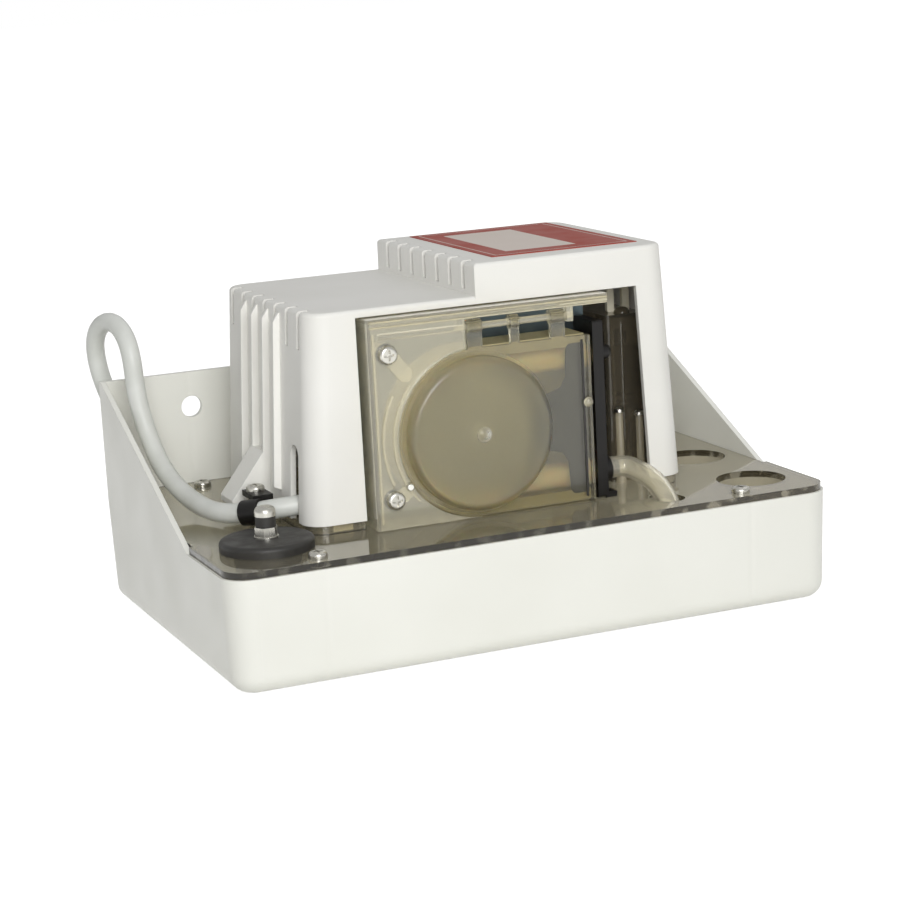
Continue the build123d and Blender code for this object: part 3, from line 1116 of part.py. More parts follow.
def make_plug_nut():
    x, y = SPARE_INLET_X, SPARE_INLET_Y
    washer = rod_z(x, y, PLUG_NUT_WIDTH / 2 + 0.9, PLUG_TOP, PLUG_TOP + 0.8)
    hexagon = Pos(x, y) * RegularPolygon(PLUG_NUT_WIDTH / 2, 6, major_radius=False)
    nut = extrude(Plane.XY.offset(PLUG_TOP + 0.7) * hexagon, amount=PLUG_NUT_HEIGHT)
    return washer + nut - rod_z(x, y, PLUG_BOLT_RADIUS, PLUG_TOP - 1, PLUG_TOP + 8)


PLUG_SLEEVE_BOTTOM = PLUG_TOP + 0.7 + PLUG_NUT_HEIGHT


def make_plug_sleeve():
    x, y = SPARE_INLET_X, SPARE_INLET_Y
    sleeve = rod_z(x, y, PLUG_SLEEVE_RADIUS, PLUG_SLEEVE_BOTTOM, PLUG_SLEEVE_BOTTOM + PLUG_SLEEVE_HEIGHT)
    return sleeve - rod_z(x, y, PLUG_BOLT_RADIUS, PLUG_SLEEVE_BOTTOM - 1,
                          PLUG_SLEEVE_BOTTOM + PLUG_SLEEVE_HEIGHT + 1)


def make_plug_bolt():
    """Bolt through the stopper, with a domed head above and a clamp washer below."""
    x, y = SPARE_INLET_X, SPARE_INLET_Y
    head = PLUG_SLEEVE_BOTTOM + PLUG_SLEEVE_HEIGHT
    bottom = DECK_TOP - PLUG_BODY_DROP
    dome = rod_z(x, y, PLUG_SLEEVE_RADIUS + 0.2, head, head + PLUG_DOME_HEIGHT)
    dome = fillet(dome.edges().group_by(Axis.Z)[-1], PLUG_DOME_HEIGHT * 0.6)
    return dome + rod_z(x, y, PLUG_BOLT_RADIUS, bottom - 5, head + 1) + rod_z(
        x, y, INLET_RADIUS - 3.0, bottom - 1.6, bottom)


# ---------------------------------------------------------------- cord and its fittings
TERMINAL_X = -78.0
COIL_HEIGHT = COIL_TURNS * (2 * CORD_RADIUS + 0.2) + 2 * CORD_RADIUS
COIL_START_Z = COIL_HEIGHT - CORD_RADIUS
COIL_OUTER = COIL_RADIUS + CORD_RADIUS + 0.4
COIL_INNER = COIL_RADIUS - CORD_RADIUS - 0.4


def cord_points():
    """Out of the hood's slot, through the clamp, up over the wall panel and down behind it."""
    return [
        (TERMINAL_X, CORD_SLOT_Y, 63.0),
        (-94.0, CORD_SLOT_Y, 63.0),
        (-106.5, -21.5, 60.0),
        (-117.0, -4.0, 57.6),
        (-121.5, 22.0, 60.0),
        (-125.0, 45.0, 68.0),
        (-127.0, 59.0, 82.0),
        (-130.0, 63.5, 100.0),
        (-130.5, 64.0, 119.5),
        (-131.5, 71.5, 129.6),
        (-134.0, 83.0, 133.6),
        (-137.0, 94.5, 129.4),
        (-138.0, 101.5, 119.5),
        (-135.5, 103.0, 103.0),
        (-127.0, 103.4, 80.0),
        (-109.0, 103.0, 59.0),
        (-82.0, 102.0, 44.0),
        (-48.0, 101.4, 37.5),
        (-8.0, COIL_CENTRE_Y - COIL_RADIUS + 0.2, COIL_START_Z + 0.3),
        (26.0, COIL_CENTRE_Y - COIL_RADIUS, COIL_START_Z),
        (COIL_CENTRE_X - 4.0, COIL_CENTRE_Y - COIL_RADIUS, COIL_START_Z),
    ]


def tail_points():
    """From the coil's lowest turn back to the left, to the plug that lies beside it."""
    x, y = COIL_CENTRE_X, COIL_CENTRE_Y + COIL_RADIUS
    return [(x - 4.0, y, CORD_RADIUS), (x - 24.0, y + 1.0, CORD_RADIUS + 0.5),
            (x - 46.0, y - 2.0, CORD_RADIUS + 6.0),
            (x - 68.0, y - 8.0, MAINS_PLUG_RADIUS),
            (x - 84.0, y - 8.0, MAINS_PLUG_RADIUS)]


def make_cord(name, points):
    path, radii = cord_path(points)
    cord = tube_along(path, CORD_RADIUS)
    print(name, "length", round(path.length, 1), "radii", [round(r, 1) for r in radii],
          "volume ratio", round(cord.volume / (pi * CORD_RADIUS ** 2 * path.length), 4))
    return cord


def make_cord_coil():
    """Outer shape of the put-away turns, with room for the two ends that leave it."""
    ring = rod_z(COIL_CENTRE_X, COIL_CENTRE_Y, COIL_OUTER, 0, COIL_HEIGHT)
    ring -= rod_z(COIL_CENTRE_X, COIL_CENTRE_Y, COIL_INNER, -1, COIL_HEIGHT + 1)
    for points in (cord_points(), tail_points()):
        path, _ = cord_path(points)
        ring -= tube_along(path, CORD_RADIUS + RUNNING_GAP)
    return ring


def make_mains_plug():
    """Moulded two-pin earthed plug with a tapered cord sleeve."""
    x, y, z = tail_points()[-1]
    grip = Pos(x - MAINS_GRIP / 2, y, z) * Rot(0, 90, 0) * Cone(12.0, 6.0, MAINS_GRIP)
    back = x - MAINS_GRIP
    body = rod_x(y, z, MAINS_PLUG_RADIUS, back - MAINS_PLUG_LENGTH, back)
    body = fillet(body.edges().filter_by(GeomType.CIRCLE), 2.5)
    for side in (-1, 1):
        ground = y + side * (MAINS_PLUG_RADIUS - 2.0)
        body -= block(back - MAINS_PLUG_LENGTH - 1, back - 16, ground - 2, ground + 2, z - 3, z + 3)
    return grip + body


def make_plug_pins():
    x, y, z = tail_points()[-1]
    face = x - MAINS_GRIP - MAINS_PLUG_LENGTH
    return Compound([rod_x(y + side * MAINS_PIN_PITCH / 2, z, MAINS_PIN_RADIUS, face - MAINS_PIN_LENGTH, face)
                     for side in (-1, 1)])


def make_cord_clamp():
    """P-clip: a strap round the cord whose ears lie on the deck's boss."""
    path, _ = cord_path(cord_points())
    corner = Vector(*cord_points()[2])
    spots = [i / 400 for i in range(401)]
    spot = min(spots, key=lambda u: (path @ u - corner).length)
    ring_plane = Plane(origin=path @ spot, z_dir=path % spot)
    strap = extrude(ring_plane * Circle(CORD_RADIUS + CLAMP_WALL), amount=CLAMP_WIDTH / 2, both=True)
    tab = block(CLAMP_SCREW_X - CLAMP_WIDTH / 2, CLAMP_SCREW_X + CLAMP_WIDTH / 2, (path @ spot).Y + 0.5,
                CLAMP_SCREW_Y + 5, CLAMP_EAR_Z, CLAMP_EAR_Z + 2.4)
    clip = strap + tab
    clip -= tube_along(path, CORD_RADIUS + RUNNING_GAP)
    return clip - rod_z(CLAMP_SCREW_X, CLAMP_SCREW_Y, SCREW_SHANK_RADIUS + 0.1, CLAMP_EAR_Z - 1,
                        CLAMP_EAR_Z + 4)


def make_clamp_screw():
    return Pos(CLAMP_SCREW_X, CLAMP_SCREW_Y, CLAMP_EAR_Z + 2.4) * pan_screw(10.0)


def make_terminal_block():
    """Three-way terminal block inside the hood, where the cord ends."""
    x, y, z = cord_points()[0]
    body = block(x, x + 9, y - 12, y + 12, DECK_TOP, z + 9)
    for offset in (-8, 0, 8):
        body -= rod_z(x + 4.5, y + offset, 2.0, z + 4, z + 10)
    return body


# ---------------------------------------------------------------- write the parts
PARTS = {
    "tank": make_tank,
    "deck": make_deck,
    "deck_screws": make_deck_screws,
    "hood": make_hood,
    "hood_screws": make_hood_screws,
    "top_label": make_top_label,
    "plug_stopper": make_plug_stopper,
    "plug_nut": make_plug_nut,
    "plug_sleeve": make_plug_sleeve,
    "plug_bolt": make_plug_bolt,
    "cord_clamp": make_cord_clamp,
    "clamp_screw": make_clamp_screw,
    "power_cord": lambda: make_cord("power cord", cord_points()),
    "cord_tail": lambda: make_cord("cord tail", tail_points()),
    "cord_coil": make_cord_coil,
    "mains_plug": make_mains_plug,
    "plug_pins": make_plug_pins,
    "terminal_block": make_terminal_block,
    "mounting_plate": make_mounting_plate,
    "head_frame": make_head_frame,
    "track_body": make_track_body,
    "pump_cover": make_pump_cover,
    "hinge_rod": make_hinge_rod,
    "head_screws": make_head_screws,
    "cover_catch": make_cover_catch,
    "pump_tube": make_pump_tube,
    "connector_block": make_connector_block,
    "suction_fitting": make_suction_fitting,
    "discharge_fitting": make_discharge_fitting,
    "suction_tube": make_suction_tube,
    "strainer": make_strainer,
    "discharge_tube": make_discharge_tube,
    "outlet_barb": make_outlet_barb,
    "rotor_frame": make_rotor_frame,
    "roller_pins": make_roller_pins,
    "output_shaft": make_output_shaft,
    "gearbox_case": make_gearbox_case,
    "gearbox_cover": make_gearbox_cover,
    "shaft_bushes": make_shaft_bushes,
    "output_gear": make_output_gear,
    "middle_gear": make_middle_gear,
    "middle_axle": make_middle_axle,
    "motor_shaft": make_motor_shaft,
    "motor_rotor": make_motor_rotor,
    "stator_stack": make_stator_stack,
    "motor_coil": make_motor_coil,
    "rear_bracket": make_rear_bracket,
    "motor_screws": make_motor_screws,
    "cooling_fan": make_cooling_fan,
    "float": make_float,
    "float_rod": make_float_rod,
    "switch_stand": make_switch_stand,
    "switch_cover": make_switch_cover,
    "microswitches": make_microswitches,
    "switch_plungers": make_switch_plungers,
    "float_lever": make_float_lever,
}

for name, make in PARTS.items():
    export_step(make(), f"parts/{name}.step")
for number in range(ROLLER_COUNT):
    export_step(make_roller(number), f"parts/roller_{number + 1}.step")
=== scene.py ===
"""Looks of a tank condensate pump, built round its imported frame.  Lengths are in metres."""
import json
import math

import bmesh
import bpy
from mathutils import Matrix, Vector


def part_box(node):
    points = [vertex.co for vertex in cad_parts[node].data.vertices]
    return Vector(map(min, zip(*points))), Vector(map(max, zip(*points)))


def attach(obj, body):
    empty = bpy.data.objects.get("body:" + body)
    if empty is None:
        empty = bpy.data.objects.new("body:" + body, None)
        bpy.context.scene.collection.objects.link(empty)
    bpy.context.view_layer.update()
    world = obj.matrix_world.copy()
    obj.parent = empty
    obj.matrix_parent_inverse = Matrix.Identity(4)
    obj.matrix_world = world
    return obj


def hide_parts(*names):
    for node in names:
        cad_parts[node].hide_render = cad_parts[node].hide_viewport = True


bl_info = {
    "name": "Condensate pump looks",
    "version": (1, 0, 0),
    "blender": (4, 5, 0),
    "location": "3D View > Sidebar > Pump",
    "description": "Finishes, cord and stage of a tank condensate pump",
    "category": "Object",
}

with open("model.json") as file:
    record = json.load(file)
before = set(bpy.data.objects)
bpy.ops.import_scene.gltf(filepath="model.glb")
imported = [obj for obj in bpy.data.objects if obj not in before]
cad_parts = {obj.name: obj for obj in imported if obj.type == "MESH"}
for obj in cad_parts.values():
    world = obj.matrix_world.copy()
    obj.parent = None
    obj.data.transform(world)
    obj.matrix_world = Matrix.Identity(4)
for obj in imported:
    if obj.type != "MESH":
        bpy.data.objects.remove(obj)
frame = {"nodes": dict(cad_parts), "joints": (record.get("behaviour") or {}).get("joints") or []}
NODES = frame["nodes"]
MM = 0.001

# the pump's shaft in mm: the track, the cover's boss and the frame's arcs go round it
SHAFT = Vector(next(joint["pos_m"] for joint in frame["joints"] if joint["name"] == "pump_spin")) / MM


# ---------------------------------------------------------------- colours and nodes
def linear(code):
    """An sRGB hex colour as the linear colour that a socket takes."""
    channels = [int(code[i:i + 2], 16) / 255 for i in (1, 3, 5)]
    return [c / 12.92 if c <= 0.04045 else ((c + 0.055) / 1.055) ** 2.4 for c in channels] + [1.0]


def add_node(tree, kind, inputs=None, **settings):
    """Add a shader node, set its properties, and fill or link its sockets."""
    node = tree.nodes.new(kind)
    for key, value in settings.items():
        setattr(node, key, value)
    for key, value in (inputs or {}).items():
        if isinstance(value, bpy.types.NodeSocket):
            tree.links.new(value, node.inputs[key])
        else:
            node.inputs[key].default_value = value
    return node


def start_material(name, inputs):
    """A material with one shader whose constant sockets are set."""
    material = bpy.data.materials.new(name)
    material.use_nodes = True
    tree = material.node_tree
    tree.nodes.clear()
    shader = add_node(tree, "ShaderNodeBsdfPrincipled", inputs)
    add_node(tree, "ShaderNodeOutputMaterial", {"Surface": shader.outputs[0]})
    return material, tree, shader


def coordinates(tree):
    """Where a point is on its own piece: x, y and z in metres."""
    point = add_node(tree, "ShaderNodeTexCoord").outputs["Object"]
    return add_node(tree, "ShaderNodeSeparateXYZ", {"Vector": point}).outputs


# the noise keeps mostly between these two values
NOISE_BAND = (0.3, 0.7)


def blotches(tree, size_mm, detail=2.0):
    """An uneven pattern whose blotches are about size_mm across."""
    point = add_node(tree, "ShaderNodeTexCoord").outputs["Object"]
    return add_node(tree, "ShaderNodeTexNoise", {
        "Vector": point, "Scale": 1000 / size_mm, "Detail": detail}).outputs[0]


def mottle(tree, shader, low, high, size_mm):
    """Let the colour drift between two close shades."""
    ramp = add_node(tree, "ShaderNodeValToRGB", {"Fac": blotches(tree, size_mm)})
    for i, colour in enumerate((low, high)):
        ramp.color_ramp.elements[i].position = NOISE_BAND[i]
        ramp.color_ramp.elements[i].color = linear(colour)
    tree.links.new(ramp.outputs[0], shader.inputs["Base Color"])


def relief(tree, shader, height, depth_mm, edge_mm=0.0):
    """Bump from a height pattern, over edges that look eased by edge_mm."""
    inputs = {"Height": height, "Distance": depth_mm * MM, "Strength": 1.0}
    if edge_mm:
        eased = add_node(tree, "ShaderNodeBevel", {"Radius": edge_mm * MM}, samples=4)
        inputs["Normal"] = eased.outputs[0]
    bump = add_node(tree, "ShaderNodeBump", inputs)
    tree.links.new(bump.outputs[0], shader.inputs["Normal"])


def rub(tree, shader, low, high, size_mm):
    """Let the gloss vary between two roughnesses, as handling leaves it."""
    spread = add_node(tree, "ShaderNodeMapRange", {
        "Value": blotches(tree, size_mm, 4.0), "From Min": NOISE_BAND[0], "From Max": NOISE_BAND[1],
        "To Min": low, "To Max": high})
    tree.links.new(spread.outputs[0], shader.inputs["Roughness"])


# ---------------------------------------------------------------- finishes
# the grain of moulds, rolls and tools is nearer 0.1 mm; it is drawn 0.5 to 1.6 mm wide, so that it shows

# webs stand behind the tank's walls this far from its middle and leave faint sink lines, in mm
WEB_X = 98.5
SINK_HALF = 2.2


def moulded_abs_white(settings):
    """Gloss ABS from a polished mould: pale, with faint sink lines over the webs behind."""
    material, tree, shader = start_material("moulded_abs_white", {"IOR": 1.53, "Specular IOR Level": 0.45})
    mottle(tree, shader, settings.tank_shade, settings.tank_white, 60)
    rub(tree, shader, 0.30, 0.42, 25)
    across = add_node(tree, "ShaderNodeMath", {0: coordinates(tree)[0]}, operation="ABSOLUTE")
    off = add_node(tree, "ShaderNodeMath", {0: across.outputs[0], 1: WEB_X * MM}, operation="SUBTRACT")
    away = add_node(tree, "ShaderNodeMath", {0: off.outputs[0]}, operation="ABSOLUTE")
    sink = add_node(tree, "ShaderNodeMapRange", {
        "Value": away.outputs[0], "From Min": 0.0, "From Max": SINK_HALF * MM,
        "To Min": 0.0, "To Max": 1.0}, interpolation_type="SMOOTHSTEP")
    grain_share = 0.06
    height = add_node(tree, "ShaderNodeMath", {
        0: blotches(tree, 0.9), 1: grain_share, 2: sink.outputs[0]}, operation="MULTIPLY_ADD")
    relief(tree, shader, height.outputs[0], 0.12, edge_mm=0.5)
    return material


def moulded_hood_white(settings):
    """Flame-retardant ABS from a spark-eroded mould: the same white with a dull fine grain."""
    material, tree, shader = start_material("moulded_hood_white", {"IOR": 1.53, "Specular IOR Level": 0.4})
    mottle(tree, shader, settings.hood_shade, settings.hood_white, 45)
    rub(tree, shader, 0.42, 0.55, 18)
    relief(tree, shader, blotches(tree, 0.7), 0.02, edge_mm=0.5)
    return material


def smoked_sheet(name, colour, weight):
    """Clear plastic with a smoke tint: glossy, faintly wavy and a little dusty."""
    material, tree, shader = start_material(name, {
        "IOR": 1.49, "Transmission Weight": weight, "Base Color": linear(colour)})
    rub(tree, shader, 0.02, 0.07, 14)
    relief(tree, shader, blotches(tree, 30), 0.05)
    return material, tree, shader


def smoked_polycarbonate(settings):
    """Moulded polycarbonate in a dark smoke tint: what stands inside shows as dim brown shapes."""
    return smoked_sheet("smoked_polycarbonate", settings.dark_smoke, 0.92)[0]


# transmission of the deck by the pump and under the inlets, and where along the tank it changes, in mm; the
# milkier, lighter end is a painted reflection of the bright room
CLEAR_END, PAINTED_SHEEN_END = 0.86, 0.6
PAINTED_SHEEN_FROM, PAINTED_SHEEN_TO = 0.0, 100.0
# heights in mm between which a face is one of the deck's sawn edges, if it also looks sideways; these faces
# get painted shade
SAWN_LOW, SAWN_HIGH = 49.3, 52.4


def deck_acrylic(settings):
    """Cast acrylic, sawn to size: clear by the pump and milkier towards the inlets, a painted reflection of
    the bright room; its sawn edges are tinted dark as painted shade, with lighter bits as painted
    highlight."""
    material, tree, shader = smoked_sheet("deck_acrylic", settings.smoke, CLEAR_END)
    x, _, z = coordinates(tree)
    # painted reflection: less transmission towards the inlets makes the deck milkier and lighter there
    painted_sheen = add_node(tree, "ShaderNodeMapRange", {
        "Value": x, "From Min": PAINTED_SHEEN_FROM * MM, "From Max": PAINTED_SHEEN_TO * MM,
        "To Min": CLEAR_END, "To Max": PAINTED_SHEEN_END}, interpolation_type="SMOOTHSTEP")
    tree.links.new(painted_sheen.outputs[0], shader.inputs["Transmission Weight"])
    normal = add_node(tree, "ShaderNodeNewGeometry").outputs["Normal"]
    facing = add_node(tree, "ShaderNodeSeparateXYZ", {"Vector": normal})
    level = add_node(tree, "ShaderNodeMath", {0: facing.outputs[2]}, operation="ABSOLUTE")
    upright = add_node(tree, "ShaderNodeMapRange", {
        "Value": level.outputs[0], "From Min": 0.2, "From Max": 0.7, "To Min": 1.0, "To Max": 0.0})
    # painted highlight: lighter bits where the painted shade of the edges is weakened
    bits = add_node(tree, "ShaderNodeMapRange", {
        "Value": blotches(tree, 7, 1.0), "From Min": 0.52, "From Max": 0.62,
        "To Min": 1.0, "To Max": 0.25})
    over = add_node(tree, "ShaderNodeMath", {0: z, 1: SAWN_LOW * MM}, operation="GREATER_THAN")
    under = add_node(tree, "ShaderNodeMath", {0: z, 1: SAWN_HIGH * MM}, operation="LESS_THAN")
    dark = upright.outputs[0]
    for part in (bits, over, under):
        both = add_node(tree, "ShaderNodeMath", {0: dark, 1: part.outputs[0]}, operation="MULTIPLY")
        dark = both.outputs[0]
    # painted shade: the sideways faces of the sawn edges take this dark tint instead of the smoke tint
    tint = add_node(tree, "ShaderNodeMix", {
        0: dark, 6: linear(settings.smoke), 7: linear("#4B4537")}, data_type="RGBA")
    tree.links.new(tint.outputs[2], shader.inputs["Base Color"])
    return material


def frosted_plastic(name, colour, low, high, weight):
    """Clear plastic etched inside: light comes through, shapes behind go soft, the outside shines."""
    material, tree, shader = start_material(name, {
        "IOR": 1.48, "Transmission Weight": weight, "Base Color": linear(colour),
        "Coat Weight": 0.5, "Coat Roughness": 0.06})
    rub(tree, shader, low, high, 8)
    relief(tree, shader, blotches(tree, 0.8), 0.02, edge_mm=0.4)
    return material


# the etching is deep within the boss and light on the flat part; between these radii in mm it changes
BOSS_INNER, BOSS_OUTER = 30.0, 35.0
DEEP_ETCH, LIGHT_ETCH = 0.6, 0.26


def frosted_lid(settings):
    """Polycarbonate etched inside: the round boss blurs what is behind it more than the flat part."""
    material, tree, shader = start_material("frosted_lid", {
        "IOR": 1.48, "Transmission Weight": 0.96, "Base Color": linear(settings.lid),
        "Coat Weight": 0.5, "Coat Roughness": 0.05})
    x, _, z = coordinates(tree)
    across = add_node(tree, "ShaderNodeCombineXYZ", {"X": x, "Z": z})
    away = add_node(tree, "ShaderNodeVectorMath", {
        0: across.outputs[0], 1: (SHAFT.x * MM, 0.0, SHAFT.z * MM)}, operation="DISTANCE")
    haze = add_node(tree, "ShaderNodeMapRange", {
        "Value": away.outputs["Value"], "From Min": BOSS_INNER * MM, "From Max": BOSS_OUTER * MM,
        "To Min": DEEP_ETCH, "To Max": LIGHT_ETCH})
    tree.links.new(haze.outputs[0], shader.inputs["Roughness"])
    relief(tree, shader, blotches(tree, 0.8), 0.02, edge_mm=0.4)
    return material


def metal(name, colour, low, high, grain_mm=0.6, depth_mm=0.01):
    """Bare or plated metal, with fine turning or rolling marks."""
    material, tree, shader = start_material(name, {"Metallic": 1.0, "Base Color": linear(colour)})
    rub(tree, shader, low, high, 4)
    relief(tree, shader, blotches(tree, grain_mm), depth_mm, edge_mm=0.15)
    return material


def solid_plastic(name, low, high, rough_low, rough_high, grain_mm=0.7, ior=1.5):
    """Opaque moulded plastic or rubber with a fine grain."""
    material, tree, shader = start_material(name, {"IOR": ior})
    mottle(tree, shader, low, high, 12)
    rub(tree, shader, rough_low, rough_high, 6)
    relief(tree, shader, blotches(tree, grain_mm), 0.02, edge_mm=0.25)
    return material


def soft_tube(name, colour, rough, weight, subsurface):
    """Extruded elastomer or vinyl that lets some light through."""
    material, tree, shader = start_material(name, {
        "IOR": 1.45, "Base Color": linear(colour), "Transmission Weight": weight,
        "Subsurface Weight": subsurface, "Subsurface Scale": 2 * MM})
    rub(tree, shader, rough * 0.8, rough * 1.3, 7)
    relief(tree, shader, blotches(tree, 1.2), 0.02)
    return material


# the label's fine line, and the margins of its blank panel at the sides and ends, in mm
LINE_MARGIN, LINE_WIDTH = 3.0, 0.6
PANEL_LEFT, PANEL_RIGHT, PANEL_ENDS = 12.0, 24.0, 12.0


def label_foil(settings):
    """Printed foil: a dull red field, a fine pale line inside its edge and a blank pale panel."""
    material, tree, shader = start_material("label_foil", {"IOR": 1.5, "Specular IOR Level": 0.12})
    low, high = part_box("top_label")
    point = coordinates(tree)

    def inside(left, right, ends):
        """1 within these margins in mm of the label's sides and ends, and 0 outside them."""
        result = 1.0
        spans = ((0, low.x + left * MM, high.x - right * MM), (1, low.y + ends * MM, high.y - ends * MM))
        for axis, first, last in spans:
            for limit, test in ((first, "GREATER_THAN"), (last, "LESS_THAN")):
                within = add_node(tree, "ShaderNodeMath", {0: point[axis], 1: limit}, operation=test)
                both = add_node(tree, "ShaderNodeMath", {
                    0: result, 1: within.outputs[0]}, operation="MULTIPLY")
                result = both.outputs[0]
        return result

    outer, inner = (inside(margin, margin, margin) for margin in (LINE_MARGIN, LINE_MARGIN + LINE_WIDTH))
    line = add_node(tree, "ShaderNodeMath", {0: outer, 1: inner}, operation="SUBTRACT").outputs[0]
    panel = inside(PANEL_LEFT, PANEL_RIGHT, PANEL_ENDS)
    marks = add_node(tree, "ShaderNodeMath", {0: line, 1: panel}, operation="MAXIMUM").outputs[0]
    colour = add_node(tree, "ShaderNodeMix", {
        0: marks, 6: linear(settings.label_red), 7: linear(settings.label_pale)}, data_type="RGBA")
    tree.links.new(colour.outputs[2], shader.inputs["Base Color"])
    rub(tree, shader, 0.36, 0.48, 15)
    return material


def dress(material, *names):
    """Give CAD nodes a material."""
    for name in names:
        mesh = NODES[name].data
        mesh.materials.clear()
        mesh.materials.append(material)


def let_light_through(*pieces):
    """Clear plastic lets the lamps' light through to what lies under it."""
    for piece in pieces:
        piece.visible_shadow = False


# ---------------------------------------------------------------- mesh helpers
def shade_by_angle(obj, degrees):
    """Smooth faces, with edges sharper than the angle kept crisp."""
    mesh = obj.data
    for polygon in mesh.polygons:
        polygon.use_smooth = True
    mesh.set_sharp_from_angle(angle=math.radians(degrees))


def piece_from(bm, name, body, material, degrees=35):
    """Turn a bmesh into a piece that rides on a body."""
    mesh = bpy.data.meshes.new(name)
    bm.to_mesh(mesh)
    bm.free()
    mesh.materials.append(material)
    obj = bpy.data.objects.new(name, mesh)
    bpy.context.scene.collection.objects.link(obj)
    shade_by_angle(obj, degrees)
    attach(obj, body)
    return obj


def turn_faces_out(bm):
    """Let every face in a bmesh look outwards."""
    bmesh.ops.recalc_face_normals(bm, faces=bm.faces)


# ways in which a turned profile stands: its axis up, towards the front, or along the tank
UPRIGHT = Matrix.Identity(4)
FORWARD = Matrix.Rotation(math.radians(90), 4, "X")
LENGTHWISE = Matrix(((0, 0, 1, 0), (1, 0, 0, 0), (0, 1, 0, 0), (0, 0, 0, 1)))


def stand(x, y, z, way=UPRIGHT):
    """Where a turned profile goes: on a point in mm, standing one of these ways."""
    return Matrix.Translation(Vector((x, y, z)) * MM) @ way


def turned(bm, profile, matrix, steps, shape=None):
    """Spin a profile of (radius, height) points in mm round its axis; a shape may change the radius."""
    rings = []
    for radius, height in profile:
        if not radius:
            rings.append([bm.verts.new(matrix @ Vector((0, 0, height * MM)))])
            continue
        ring = []
        for i in range(steps):
            angle = 2 * math.pi * i / steps
            reach = MM * (shape(radius, height, angle) if shape else radius)
            point = Vector((reach * math.cos(angle), reach * math.sin(angle), height * MM))
            ring.append(bm.verts.new(matrix @ point))
        rings.append(ring)
    for lower, upper in zip(rings, rings[1:]):
        for i in range(steps):
            j = (i + 1) % steps
            if len(lower) == 1:
                bm.faces.new((lower[0], upper[j], upper[i]))
            elif len(upper) == 1:
                bm.faces.new((lower[i], lower[j], upper[0]))
            else:
                bm.faces.new((lower[i], lower[j], upper[j], upper[i]))


def plate(bm, outline, front, back, flat=False):
    """A flat moulding: an outline of (x, z) points in mm between two depths in mm, or of (x, y) points
    between two heights where it lies flat."""
    near, far = ([bm.verts.new(Vector((a, b, depth) if flat else (a, depth, b)) * MM) for a, b in outline]
                 for depth in (front, back))
    bm.faces.new(near)
    bm.faces.new(list(reversed(far)))
    for i in range(len(outline)):
        j = (i + 1) % len(outline)
        bm.faces.new((near[j], near[i], far[i], far[j]))


def capsule(x0, z0, x1, z1, radius, steps=10):
    """Outline of a bar with round ends."""
    lean = math.atan2(z1 - z0, x1 - x0)
    points = []
    for x, z, start in ((x1, z1, lean - math.pi / 2), (x0, z0, lean + math.pi / 2)):
        for i in range(steps + 1):
            angle = start + math.pi * i / steps
            points.append((x + radius * math.cos(angle), z + radius * math.sin(angle)))
    return points


def arc_band(x, z, inner, outer, start, end, steps=32):
    """Outline of a narrow band along an arc, with its angles in degrees."""
    angles = [math.radians(start + (end - start) * i / steps) for i in range(steps + 1)]
    return ([(x + outer * math.cos(a), z + outer * math.sin(a)) for a in angles]
            + [(x + inner * math.cos(a), z + inner * math.sin(a)) for a in reversed(angles)])


def rounded(x0, x1, z0, z1, radius, steps=6):
    """Outline of a rectangle with round corners."""
    points = []
    for x, z, start in ((x1 - radius, z1 - radius, 0), (x0 + radius, z1 - radius, 90),
                        (x0 + radius, z0 + radius, 180), (x1 - radius, z0 + radius, 270)):
        for i in range(steps + 1):
            angle = math.radians(start + 90 * i / steps)
            points.append((x + radius * math.cos(angle), z + radius * math.sin(angle)))
    return points


def wire(name, points, diameter, body, material, resolution=10):
    """A round wire or cord on one smooth spline whose control points are given."""
    curve = bpy.data.curves.new(name, "CURVE")
    curve.dimensions = "3D"
    spline = curve.splines.new("NURBS")
    spline.points.add(len(points) - 1)
    for point, target in zip(spline.points, points):
        point.co = (*target, 1.0)
    spline.order_u = 3
    spline.use_endpoint_u = True
    spline.resolution_u = resolution
    curve.bevel_depth = diameter / 2
    curve.bevel_resolution = 6
    curve.use_fill_caps = True
    curve.materials.append(material)
    obj = bpy.data.objects.new(name, curve)
    bpy.context.scene.collection.objects.link(obj)
    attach(obj, body)
    return obj


# ---------------------------------------------------------------- settings
class PumpFinishSettings(bpy.types.PropertyGroup):
    """Colours of the moulded and printed surfaces."""
    tank_white: bpy.props.StringProperty(
        name="Tank white", description="Lit shade of the tank's plastic, as sRGB hex", default="#F3F3EC")
    tank_shade: bpy.props.StringProperty(
        name="Tank shade", description="Darker drift of the tank's plastic, as sRGB hex", default="#EEEEE6")
    hood_white: bpy.props.StringProperty(
        name="Hood white", description="Lit shade of the hood's plastic, as sRGB hex", default="#F4F3EE")
    hood_shade: bpy.props.StringProperty(
        name="Hood shade", description="Darker drift of the hood's plastic, as sRGB hex", default="#EFEEE8")
    smoke: bpy.props.StringProperty(
        name="Smoke tint", description="Tint of the clear deck, as sRGB hex", default="#C4BEAB")
    dark_smoke: bpy.props.StringProperty(
        name="Dark smoke", description="Tint of the switch cover, as sRGB hex", default="#ABA391")
    frost: bpy.props.StringProperty(
        name="Frost tint", description="Tint of the clear pump frame, as sRGB hex", default="#E4DFCA")
    lid: bpy.props.StringProperty(
        name="Lid tint", description="Tint of the frosted pump cover, as sRGB hex", default="#E2DDC6")
    label_red: bpy.props.StringProperty(
        name="Label red", description="Field of the label, as sRGB hex", default="#A33A25")
    label_pale: bpy.props.StringProperty(
        name="Label pale", description="Line and panel of the label, as sRGB hex", default="#E2D6CC")
    cord_white: bpy.props.StringProperty(
        name="Cord white", description="Vinyl sheath of the cord, as sRGB hex", default="#E2E4DF")
    cord_shade: bpy.props.StringProperty(
        name="Cord shade", description="Darker drift of the cord's vinyl, as sRGB hex", default="#D8DAD4")


